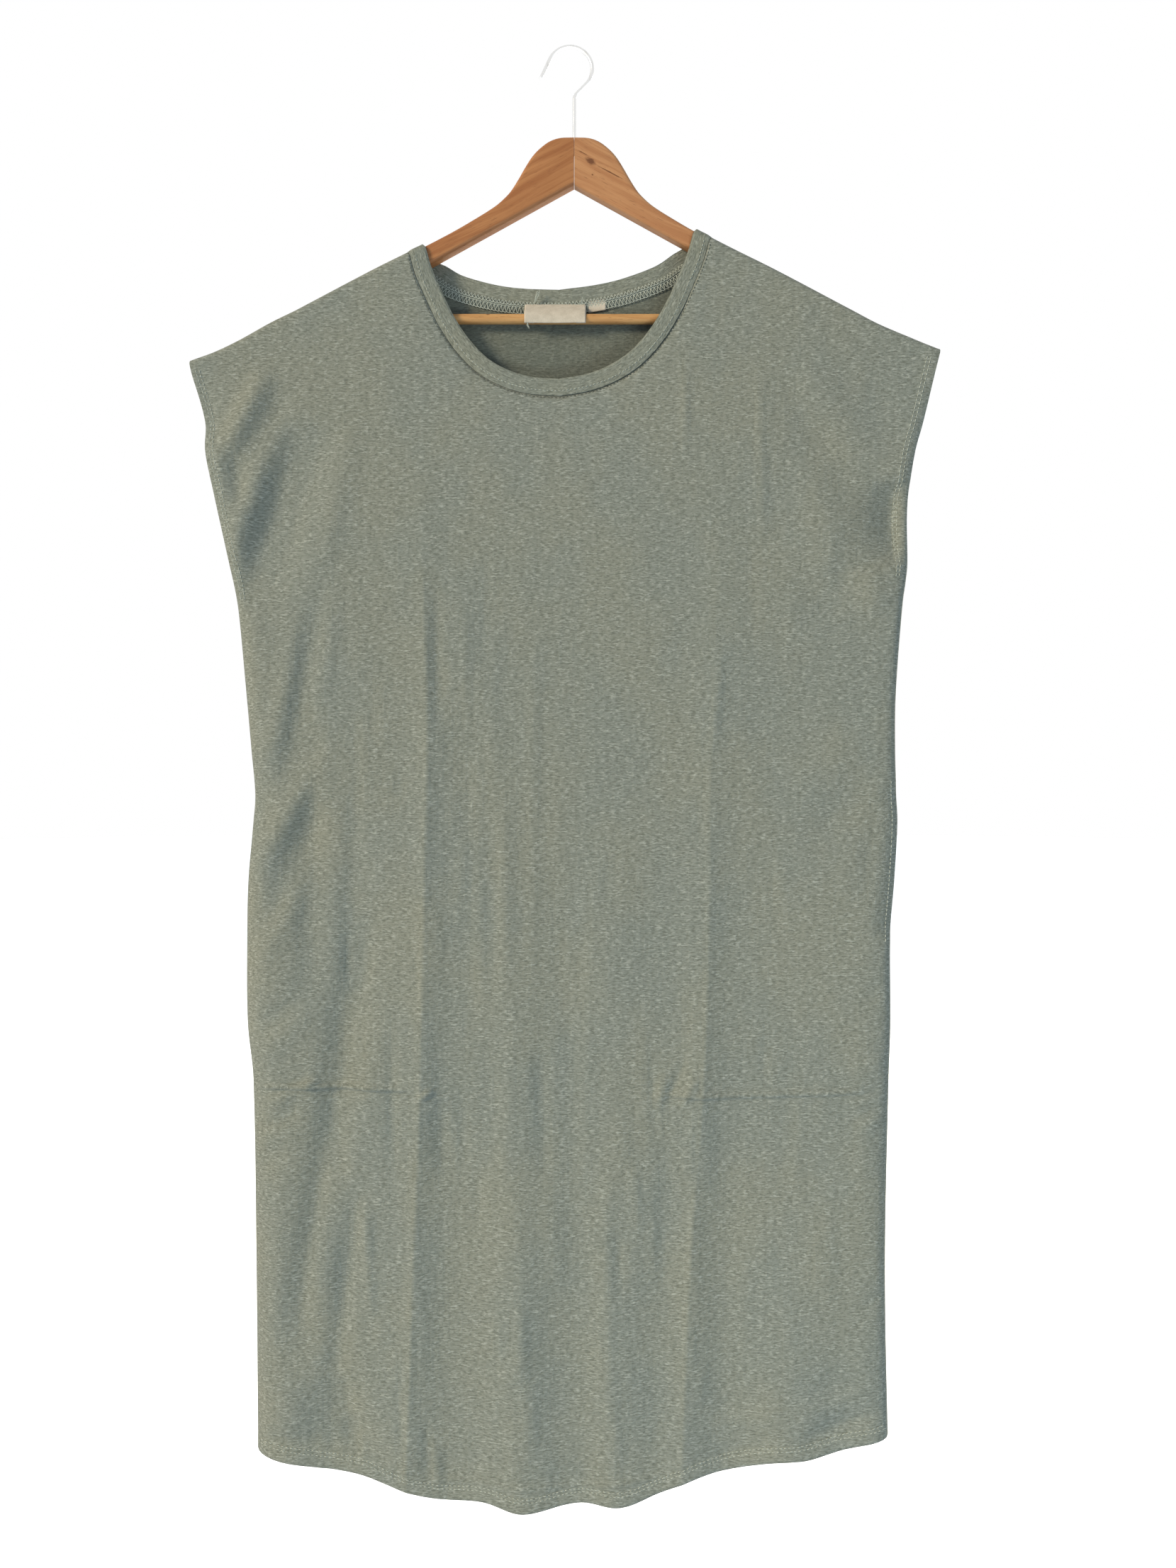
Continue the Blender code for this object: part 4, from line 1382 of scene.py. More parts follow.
@dataclass
class PocketBag:
    """One layer of the in-seam pocket's bag.

    Attributes:
        form: Shape of the cloth.
        layer: Front or back of the bag.
        half_gap: Half the gap between the two layers.
        seam_roll: Width over which they close at their seam.
        mouth_run: Width over which the mouth opens to the panels.
        columns: Grid columns.
        rows: Grid rows.
        bag: The bag's near and far edges, as distances from the side edge.
    """

    form: DressForm
    layer: Layer
    half_gap: float = 2.8
    seam_roll: float = 9.0
    mouth_run: float = 26.0
    columns: int = 34
    rows: int = 56
    bag: Table = Table(
        ("drop", "near", "far"),
        (
            (572, 10, 68),
            (580, 6, 76),
            (592, 2, 84),
            (618, 2, 96),
            (663, 2, 119),
            (700, 2, 125),
            (722, 5, 123),
            (750, 22, 113),
            (777, 40, 96),
            (800, 50, 74),
        ),
    )

    def mouth_depth(self, drop: Numbers) -> Numbers:
        """Depth of the bag's inner face where it is sewn inside its panel along the mouth.

        Args:
            drop: Drops along the mouth.

        Returns:
            The depths.
        """
        edge = self.form.side_edge(Side.RIGHT, drop)
        near = self.bag.read("near", drop)
        at_seam = self.form.plain_depth(self.layer, edge - near, drop)
        slope = (at_seam - self.form.plain_depth(self.layer, edge, drop)) / near
        return at_seam - (self.form.seam_gap + self.form.bag_cloth) * np.hypot(1, slope)

    def build(self, builder: Builder, finish: bpy.types.Material) -> bpy.types.Object:
        """Make this layer of the bag.

        Args:
            builder: Puts it on the body.
            finish: Its finish.

        Returns:
            The layer.
        """
        form = self.form
        top, foot = self.bag.column("drop")[[0, -1]]
        drop = np.linspace(top, foot, self.rows + 1)[:, None] * np.ones(self.columns + 1)
        share = np.linspace(0, 1, self.columns + 1)[None, :] * np.ones((self.rows + 1, 1))
        edge = form.side_edge(Side.RIGHT, drop)
        near = edge - self.bag.read("near", drop)
        far = edge - self.bag.read("far", drop)
        across = far + (near - far) * share
        mouth = form.pocket_mouth(drop)
        from_near = near - across + mouth * self.seam_roll
        from_seams = np.minimum.reduce([across - far, from_near, drop - top, foot - drop])
        closed = quarter_round(from_seams / self.seam_roll)
        depth = form.seam_gap / 2 + (self.half_gap - form.seam_gap / 2) * closed
        open_share = mouth * (1 - ease(0, self.mouth_run, near - across))
        depth = depth + (self.mouth_depth(drop) - depth) * open_share
        points = np.stack([across, self.layer.sign * depth, -drop], axis=-1).reshape(-1, 3) * MM
        flat = np.stack([across, -drop], axis=-1).reshape(-1, 2) * MM
        name = "pocket_cloth_" + self.layer.value
        faces = grid_faces(self.rows, self.columns, flip=self.layer is Layer.FRONT)
        mesh = mesh_from(name, points, faces, flat)
        piece = builder.piece(name, mesh, finish, "jersey", ["pocket_bag_" + self.layer.value])
        thicken(piece, form.bag_cloth)
        return piece


# Labels


@dataclass
class Label:
    """A soft woven label or tab, left blank, with its ends folded behind it.

    Attributes:
        name: Name of the piece.
        node: The CAD node that it stands for.
        path: How it hangs from the seam, as depth and drop.
        left: Its left edge across.
        right: Its right edge across.
        tilt: How much it rises to the right.
        fold: Width of the ends folded behind.
        cloth: Thickness of the tape.
        wave: How far its foot waves in and out.
        radius: Radius of the folds at its ends.
        columns: Grid columns.
        rows: Grid rows.
    """

    name: str
    node: str
    path: Table
    left: float
    right: float
    tilt: float = 0.0
    fold: float = 7.0
    cloth: float = 0.4
    wave: float = 0.3
    radius: float = 0.28
    columns: int = 40
    rows: int = 26

    def strip(self) -> tuple[Numbers, Numbers, Numbers]:
        """The tape along its length, as it turns behind itself at both ends.

        Returns:
            Distances along the tape, and how far across and how far behind the label's face each lies.
        """
        radius, ends = self.radius, self.fold
        face = self.right - self.left - 2 * radius
        turn = math.pi * radius
        length = 2 * (ends + turn) + face
        bends = [ends - 0.01, ends + turn / 2, ends + turn, ends + turn + face]
        bends += [length - ends - turn / 2, length - ends]
        at = np.unique(np.concatenate([np.linspace(0, length, self.columns + 1), bends]))
        first = np.clip((at - ends) / radius, 0, math.pi)
        second = np.clip((at - ends - turn - face) / radius, 0, math.pi)
        across = self.left + radius * (1 - np.sin(first) + np.sin(second))
        across += np.clip(at - ends - turn, 0, face)
        across += np.maximum(ends - at, 0) - np.maximum(at - length + ends, 0)
        return at, across, radius * (2 + np.cos(first) - np.cos(second))

    def build(self, builder: Builder, finish: bpy.types.Material) -> bpy.types.Object:
        """Make the label.

        Args:
            builder: Puts it on the body.
            finish: Its finish.

        Returns:
            The label.
        """
        at, across, behind = self.strip()
        steps = np.arange(len(self.path.rows), dtype=float)
        share = np.linspace(0, 1, self.rows + 1)
        depth = smooth(steps, self.path.column("depth"), share * steps[-1])
        drop = smooth(steps, self.path.column("drop"), share * steps[-1])
        centre = (self.left + self.right) / 2
        half = (self.right - self.left) / 2
        side = (across - centre) / half
        curl = self.wave * share[:, None] ** 2 * (0.7 * np.cos(3.1 * side + 0.5) - 0.5 * side**2)
        sag = 0.5 * self.wave * share[:, None] * (1 - side**2)
        y = depth[:, None] + behind[None, :] + curl
        z = drop[:, None] - self.tilt * (across - self.left)[None, :] + sag
        points = np.stack([np.broadcast_to(across, y.shape), y, -z], axis=-1).reshape(-1, 3) * MM
        reach = walked(np.stack([depth, drop], axis=1))
        flat = np.stack(np.broadcast_arrays(at[None, :], -reach[:, None]), axis=-1).reshape(-1, 2) * MM
        faces = grid_faces(self.rows, len(at) - 1, flip=True)
        mesh = mesh_from(self.name, points, faces, flat)
        piece = builder.piece(self.name, mesh, finish, "label", [self.node])
        thicken(piece, self.cloth)
        return piece


# Sewing


@dataclass
class Thread:
    """Sewing thread, laid as many small stitches joined in one mesh.

    Attributes:
        radius: Radius of the thread.
        sides: Sides round a stitch.
        points: Points laid so far, in metres.
        faces: Faces laid so far.
    """

    radius: float = 0.31
    sides: int = 6
    points: list[Numbers] = field(default_factory=list)
    faces: Faces = field(default_factory=list)

    def tube(self, path: Numbers, radius: float, taper: bool = True) -> None:
        """Add a short tube, closed at both ends.

        Args:
            path: Points in metres that it follows.
            radius: Its radius.
            taper: Whether its ends are thin.
        """
        run = unit(np.gradient(path, axis=0))
        up = np.array([0.0, -1.0, 0.0]) if abs(run[0][1]) < 0.9 else np.array([0.0, 0.0, 1.0])
        wide = unit(np.cross(run, up))
        high = np.cross(wide, run)
        size = np.full(len(path), radius * MM)
        if taper:
            size[[0, -1]] *= 0.35
        angles = 2 * math.pi * np.arange(self.sides) / self.sides
        around = wide[:, None] * np.cos(angles)[:, None] + high[:, None] * np.sin(angles)[:, None]
        start = len(self.points)
        last = start + (len(path) - 1) * self.sides
        self.points.extend((path[:, None] + size[:, None, None] * around).reshape(-1, 3))
        for face in grid_faces(len(path) - 1, self.sides, flip=False, ring=True):
            self.faces.append(tuple(start + i for i in face))
        self.faces.append(tuple(range(start + self.sides - 1, start - 1, -1)))
        self.faces.append(tuple(range(last, last + self.sides)))

    def stitches(
        self,
        place: Callable[[Numbers], tuple[Numbers, Numbers]],
        line: Numbers,
        length: float,
        gap: float,
        seed: int,
        sink: float = 0.0,
    ) -> None:
        """Sew a row of stitches along a line on the cloth.

        Args:
            place: Gives points in metres and directions out of the cloth for rows of (across, drop).
            line: The line, rows of (across, drop).
            length: Length of a stitch.
            gap: Gap between two stitches.
            seed: Seed of their small unevenness.
            sink: How far their ends sink into the cloth.
        """
        draw = np.random.default_rng(seed)
        total = walked(line)[-1]
        number = int(total / (length + gap))
        starts = (np.arange(number) + 0.5) * total / number
        starts += draw.normal(0, 0.05 * length, number)
        shares = np.array([-0.5, -0.28, 0.28, 0.5])
        at = (starts[:, None] + shares * length).ravel()
        points, out = place(along_line(line, np.clip(at, 0, total)))
        end, top = -self.radius - sink, 0.5 * self.radius
        heights = np.tile([end, top, top, end], number)
        points = (points + out * (heights * MM)[:, None]).reshape(number, len(shares), 3)
        for path in points:
            self.tube(path, self.radius * draw.uniform(0.85, 1.15))

    def build(self, builder: Builder, name: str, finish: bpy.types.Material) -> bpy.types.Object:
        """Join all the stitches into one piece."""
        mesh = mesh_from(name, np.array(self.points), self.faces)
        return builder.piece(name, mesh, finish, "jersey")


@dataclass
class Sewing:
    """The sewing on the dress: hems, armholes, neck seam and pocket topstitch, and loose ends.

    Attributes:
        form: Shape of the cloth.
        stitch: Length of a stitch.
        gap: Gap between two stitches.
        band_row: Distance of the neckband's row from the neck seam.
        panel_row: Distance of the panels' row from it, on the other side.
        pocket_rows: Distance of the pocket's row inside the front's and the back's side edge.
    """

    form: DressForm
    stitch: float = 2.5
    gap: float = 0.9
    band_row: float = 4.2
    panel_row: float = -1.5
    pocket_rows: tuple[float, float] = (5.0, 7.0)

    def on_cloth(self, layer: Layer, lift: float = 0.0) -> Callable[[Numbers], tuple[Numbers, Numbers]]:
        """A function that places rows of (across, drop) on the outside of a panel."""
        return lambda at: self.form.outside(layer, at[:, 0], at[:, 1], self.form.cloth + lift)

    def on_band(self, layer: Layer) -> Callable[[Numbers], tuple[Numbers, Numbers]]:
        """A function that places rows of (across, drop) on the outside of the neckband."""
        return lambda at: self.form.outside(layer, at[:, 0], at[:, 1], self.form.band_cloth * 1.07)

    def hem_line(self, layer: Layer, above: float) -> Numbers:
        """A line along the hem.

        Args:
            layer: The layer.
            above: Height of the line above the hem's edge.

        Returns:
            The line, rows of (across, drop).
        """
        across = np.linspace(-247, 250, 420)
        drop = self.form.hem.read(layer.value, across) - above
        left = self.form.side_edge(Side.LEFT, drop)
        right = self.form.side_edge(Side.RIGHT, drop)
        inside = (across > left + 3) & (across < right - 3)
        return np.stack([across, drop], axis=1)[inside]

    def armhole_line(self, side: Side, inside: float) -> Numbers:
        """A line down an armhole.

        Args:
            side: The side.
            inside: Distance of the line inside the armhole's edge.

        Returns:
            The line, rows of (across, drop).
        """
        tip = self.form.for_side(self.form.tip_drop, side)
        drop = np.linspace(tip + 6, self.form.for_side(self.form.underarm_drop, side) - 3, 150)
        across = self.form.side_edge(side, drop) - side.outward * inside
        line = np.stack([across, drop], axis=1)
        return line[self.form.below_roof(line[:, 0], line[:, 1]) > 3.5]

    def pocket_line(self, inside: float) -> Numbers:
        """A line along the pocket's mouth at a distance inside the side edge."""
        drop = np.linspace(588, 717, 120)
        return np.stack([self.form.side_edge(Side.RIGHT, drop) - inside, drop], axis=1)

    def neck_row(self, layer: Layer, away: float) -> Numbers:
        """A line along the neck seam.

        Args:
            layer: The layer.
            away: Distance of the line from the seam, towards the band's edge where it is positive.

        Returns:
            The line, rows of (across, drop).
        """
        seam = self.form.neck_seam(layer)
        line = seam + square_to(seam) * away
        return line[self.form.below_roof(line[:, 0], line[:, 1]) > self.form.roof_roll]

    def build_rows(self, builder: Builder, light: bpy.types.Material, dark: bpy.types.Material) -> None:
        """Sew the hems, armholes, neck seam and pocket.

        Args:
            builder: Puts the stitches on the body.
            light: Finish of the thread that shows.
            dark: Finish of the thread beside the neck seam.
        """
        form = self.form
        seeds = iter(range(100, 200))
        sewn = Thread()
        for layer in Layer:
            lines = [self.hem_line(layer, form.hem_turn - k * form.needle_gap) for k in (0, 1)]
            for side in Side:
                turn = form.for_side(form.armhole_turn, side)
                lines += [self.armhole_line(side, turn - k * form.needle_gap) for k in (0, 1)]
            for line in lines:
                sewn.stitches(self.on_cloth(layer), line, self.stitch, self.gap, next(seeds))
            line = self.neck_row(layer, self.band_row)
            sewn.stitches(self.on_band(layer), line, 1.9, 1.2, next(seeds))
            line = self.pocket_line(self.pocket_rows[0 if layer is Layer.FRONT else 1])
            sewn.stitches(self.on_cloth(layer), line, self.stitch, self.gap, next(seeds))
        sewn.build(builder, "stitching", light)
        neck = Thread(radius=0.3)
        for layer in Layer:
            line = self.neck_row(layer, self.panel_row)
            neck.stitches(self.on_cloth(layer), line, 2.0, 1.0, next(seeds), sink=0.1)
        neck.build(builder, "neck_stitching", dark)

    def build_tufts(self, builder: Builder, thread: bpy.types.Material) -> None:
        """Loose ends of thread at the back neck, above the label and at its foot.

        Args:
            builder: Puts them on the body.
            thread: Their finish.
        """
        tufts = Thread(radius=0.18, sides=5)
        draw = np.random.default_rng(7)
        for start, end, number, bow in (
            (np.array([-28.4, 3.6, -203.0]), np.array([-24.6, 1.6, -193.4]), 7, 2.2),
            (np.array([-33.8, -5.6, -222.5]), np.array([-32.4, -6.4, -227.4]), 4, 0.9),
            (np.array([8.2, 2.0, -204.5]), np.array([10.4, 0.8, -200.4]), 3, 0.8),
        ):
            for _ in range(number):
                t = np.linspace(0, 1, 12)[:, None]
                aim = end + draw.normal(0, 0.9, 3)
                side = draw.normal(0, bow, 3) * np.array([1.0, 0.4, 0.5])
                path = start + (aim - start) * t + side * (4 * t * (1 - t)) * 0.5
                tufts.tube(path * MM, tufts.radius)
        tufts.build(builder, "thread_ends", thread)


@dataclass
class NeckStrip:
    """The seam allowance inside the back neck, bound by zigzag thread over both its edges.

    Attributes:
        form: Shape of the cloth.
        ends: How far it stops from the neck points.
        top: Its upper edge, as a distance from the seam towards the band.
        foot: Its lower edge.
        puff: How far its middle stands off the cloth.
        pitch: Length of one zigzag.
        zigzags: Upper edge, lower edge and lift off the cloth of each zigzag.
        chains: Distance from the seam and radius of each thread that runs along it.
        columns: Grid columns.
        rows: Grid rows.
    """

    form: DressForm
    ends: float = 6.0
    top: float = 2.2
    foot: float = -6.2
    puff: float = 0.8
    pitch: float = 2.9
    zigzags: tuple[tuple[float, ...], ...] = ((3.4, 0.2, 1.15), (-1.2, -6.6, 1.25))
    chains: tuple[tuple[float, float], ...] = ((0.1, 0.34), (-1.3, 0.3), (-6.5, 0.34))
    columns: int = 220
    rows: int = 8

    def __post_init__(self) -> None:
        """Read the seam, and the unit steps square to it, between the two ends."""
        seam = self.form.neck_seam(Layer.BACK)
        reach = walked(seam)
        keep = (reach > self.ends) & (reach < reach[-1] - self.ends)
        self.line, self.square = seam[keep], square_to(seam)[keep]
        self.reach = walked(self.line)

    def place(self, at: Numbers, away: Numbers, lift: Numbers) -> Numbers:
        """Points inside the back.

        Args:
            at: Distances along the seam.
            away: Distances from it, towards the band where they are positive.
            lift: Distances off the cloth.

        Returns:
            The points in metres, one a row.
        """
        step = unit(np.stack([np.interp(at, self.reach, self.square[:, k]) for k in (0, 1)], axis=1))
        spot = along_line(self.line, at) + step * away[:, None]
        depth = self.form.plain_depth(Layer.BACK, spot[:, 0], spot[:, 1]) - lift
        return np.stack([spot[:, 0], depth, -spot[:, 1]], axis=1) * MM

    def build(self, builder: Builder, cloth: bpy.types.Material, thread: bpy.types.Material) -> None:
        """Make the allowance and its threads.

        Args:
            builder: Puts them on the body.
            cloth: Finish of the allowance, the dress's jersey darkened with painted shade for the shadow
                inside the back neck.
            thread: Finish of the threads.
        """
        columns, rows = self.columns, self.rows
        at = np.repeat(np.linspace(0, self.reach[-1], columns + 1), rows + 1)
        share = np.tile(np.linspace(0, 1, rows + 1), columns + 1)
        away = self.top + (self.foot - self.top) * share + 0.35 * np.sin(at * 0.61) * share**3
        hump = 0.15 + self.puff * np.sqrt(np.clip(1 - (2 * share - 1) ** 4, 0, 1))
        outer = self.place(at, away, hump)
        points = np.concatenate([outer, self.place(at, away, np.full_like(at, 0.1))])
        flat = np.concatenate([np.stack([at, away], axis=1)] * 2) * MM
        mesh = mesh_from("neck_seam_allowance", points, self.slab_faces(len(outer)), flat)
        builder.piece("neck_seam_allowance", mesh, cloth, "jersey")
        lacing = Thread(radius=0.26)
        self.lace(lacing)
        lacing.build(builder, "neck_overlock", thread)

    def slab_faces(self, half: int) -> Faces:
        """Faces of a closed slab between two like grids of points.

        Args:
            half: Number of points in the first grid, after which the second one starts.

        Returns:
            The faces.
        """
        columns, rows, wide = self.columns, self.rows, self.rows + 1
        faces = []
        for c in range(columns):
            for r in range(rows):
                a = c * wide + r
                faces.append((a, a + 1, a + wide + 1, a + wide))
                faces.append((a + half, a + wide + half, a + wide + 1 + half, a + 1 + half))
            for r in (0, rows):
                a, b = c * wide + r, (c + 1) * wide + r
                faces.append((a, b, b + half, a + half) if r == 0 else (b, a, a + half, b + half))
        for c in (0, columns):
            for r in range(rows):
                a, b = c * wide + r, c * wide + r + 1
                faces.append((b, a, a + half, b + half) if c == 0 else (a, b, b + half, a + half))
        return faces

    def lace(self, lacing: Thread) -> None:
        """Lay the zigzags and the threads that run along the strip.

        Args:
            lacing: Takes them.
        """
        draw = np.random.default_rng(41)
        total, shares = self.reach[-1], np.linspace(0, 1, 4)
        for top, foot, lift in self.zigzags:
            for k in range(int(total / self.pitch)):
                start = k * self.pitch + draw.normal(0, 0.08)
                for begin, up in ((0.0, shares), (0.5, 1 - shares)):
                    spots = start + self.pitch * (begin + 0.5 * shares)
                    aways = foot + (top - foot) * up + draw.normal(0, 0.06)
                    lifts = lift + 0.25 * np.sin(math.pi * shares)
                    path = self.place(np.clip(spots, 0, total), aways, lifts)
                    lacing.tube(path, lacing.radius, taper=False)
        spots = np.linspace(0, total, 420)
        for away, radius in self.chains:
            waver = away + 0.3 * np.sin(spots * 2 * math.pi / self.pitch)
            lacing.tube(self.place(spots, waver, np.full_like(spots, 1.3)), radius, taper=False)


# Hanger


@dataclass
class Hanger:
    """The wooden hanger: two sawn arms with rounded edges, its round bar and its wire hook.

    Attributes:
        form: Shape of the cloth, which holds the arms' top edge.
        depth: Thickness of the board.
        edge: Radius of its rounded edges.
        under_drop: Drop of the lower edge at the middle.
        under_slope: Slope of the lower edge.
        rings: Rings in a rounded edge.
        wire: Radius of the wire.
        hook: Radius of the hook's round, to the middle of the wire.
        tip_angle: Angle at which the round begins, in degrees from the right.
        neck_angle: Angle at which it ends.
        tip_length: Length of the straight tip before it.
        bend_radius: Radius of the bend into the stem.
        stem_depth: How deep the stem goes into the wood.
        cap: Places and radii of the rounded tip, as angles from the end and shares of the wire's radius.
    """

    form: DressForm
    depth: float = 12.0
    edge: float = 3.0
    under_drop: float = 111.5
    under_slope: float = 0.554
    rings: int = 6
    wire: float = 1.5
    hook: float = 17.9
    tip_angle: float = 155.0
    neck_angle: float = -45.0
    tip_length: float = 17.7
    bend_radius: float = 8.0
    stem_depth: float = 14.0
    cap: Table = Table(
        ("angle", "radius"), ((math.pi / 2, 0.25), (1.2, 0.62), (0.8, 0.86), (0.35, 0.98))
    )

    def outline(self, side: Side) -> Numbers:
        """Outline of one arm, from the joint along the top and back.

        Args:
            side: The side of the arm.

        Returns:
            Its points, rows of (across, drop).
        """
        half = self.form.hanger_half
        top_out = np.concatenate([np.linspace(0.15, 70, 60), np.linspace(72, half - 5, 34)])
        top = np.stack([top_out, self.form.arm_top.read("drop", top_out)], axis=1)
        end_top = float(self.form.arm_top.read("drop", np.array(half - 5)))
        end_foot = self.under_drop + self.under_slope * (half - 6)
        nose = [(half - 2.2, end_top + 1.9), (half - 0.6, end_top + 4.2), (half, end_top + 7.0)]
        nose += [(half, end_foot - 7.0), (half - 0.8, end_foot - 3.6), (half - 3.0, end_foot - 1.0)]
        foot_out = np.linspace(half - 6, 0.15, 60)
        foot = np.stack([foot_out, self.under_drop + self.under_slope * foot_out], axis=1)
        made = np.concatenate([top, nose, foot])
        made[:, 0] = self.form.hanger_across + side.outward * made[:, 0]
        return made

    def build_arm(self, builder: Builder, side: Side, finish: bpy.types.Material) -> bpy.types.Object:
        """Make one arm: its outline set in along a quarter round at front and back.

        Args:
            builder: Puts it on the body.
            side: The side of the arm.
            finish: Its finish.

        Returns:
            The arm.
        """
        line = self.outline(side)
        run = unit(np.roll(line, -1, axis=0) - np.roll(line, 1, axis=0)) * side.outward
        inward = np.stack([-run[:, 1], run[:, 0]], axis=1)
        inward[0] = np.array([0.0, 1.0])
        inward[-1] = np.array([0.0, -1.0])
        rings = []
        angles = np.linspace(0, math.pi / 2, self.rings + 1)
        for sign, turned in ((-1, angles), (1, angles[::-1])):
            for angle in turned:
                flat = line + inward * self.edge * (1 - math.sin(angle))
                y = sign * (self.depth / 2 - self.edge * (1 - math.cos(angle)))
                rings.append(np.stack([flat[:, 0], np.full(len(flat), y), -flat[:, 1]], axis=1))
        number = len(line)
        last = (len(rings) - 1) * number
        faces = grid_faces(len(rings) - 1, number, flip=False, ring=True)
        faces += [tuple(range(number)), tuple(range(last, last + number))[::-1]]
        name = "arm_" + side.value
        mesh = mesh_from(name, np.concatenate(rings) * MM, faces)
        face_outwards(mesh)
        mesh.set_sharp_from_angle(angle=math.radians(40))
        return builder.piece(name, mesh, finish, "arm_wood", ["hanger_arm_" + side.value])

    def hook_path(self) -> Numbers:
        """Middle line of the wire: tip, open round, slant, bend and stem.

        Returns:
            Its points, rows of (across, drop).
        """
        middle = self.hook - self.wire
        angles = np.radians(np.linspace(self.tip_angle, self.neck_angle, 64))
        round_part = np.stack([self.hook * np.cos(angles), middle - self.hook * np.sin(angles)], axis=1)
        opening = math.radians(self.tip_angle)
        lengths = np.linspace(self.tip_length, 0, 9)[:-1]
        step = np.array([-math.sin(opening), -math.cos(opening)])
        tip = round_part[0] + lengths[:, None] * step
        angles = np.radians(np.linspace(135, 180, 10))
        bent = self.bend_radius * np.stack([np.cos(angles), -np.sin(angles)], axis=1)
        bent[:, 0] += self.form.hanger_across + self.bend_radius
        slant_foot = round_part[-1][1] + (round_part[-1][0] - bent[0, 0])
        bent[:, 1] += slant_foot - bent[0, 1]
        foot = np.array([[self.form.hanger_across, self.form.arm_top.rows[0][1] + self.stem_depth]])
        return np.concatenate([tip, round_part, bent, foot])

    def build_hook(self, builder: Builder, finish: bpy.types.Material) -> bpy.types.Object:
        """Make the bent wire as a round rod with a rounded tip.

        Args:
            builder: Puts it on the body.
            finish: Its finish.

        Returns:
            The hook.
        """
        path = self.hook_path()
        curve = bpy.data.curves.new("hook_wire", "CURVE")
        curve.dimensions = "3D"
        curve.bevel_depth = self.wire * MM
        curve.bevel_resolution = 6
        curve.use_fill_caps = True
        tip_run = (path[0] - path[1]) / np.linalg.norm(path[0] - path[1])
        rounded = [path[0] - tip_run * self.wire * (1 - math.sin(a)) for a in self.cap.column("angle")]
        path = np.concatenate([rounded, path[2:]])
        radii = [*self.cap.column("radius"), *np.ones(len(path) - len(rounded))]
        line = curve.splines.new("POLY")
        line.points.add(len(path) - 1)
        for point, (across, drop), radius in zip(line.points, path, radii):
            point.co = (across * MM, 0, -drop * MM, 1)
            point.radius = radius
        return builder.piece("hook_wire", curve, finish, "wire", ["hanger_hook"])


# Finishes


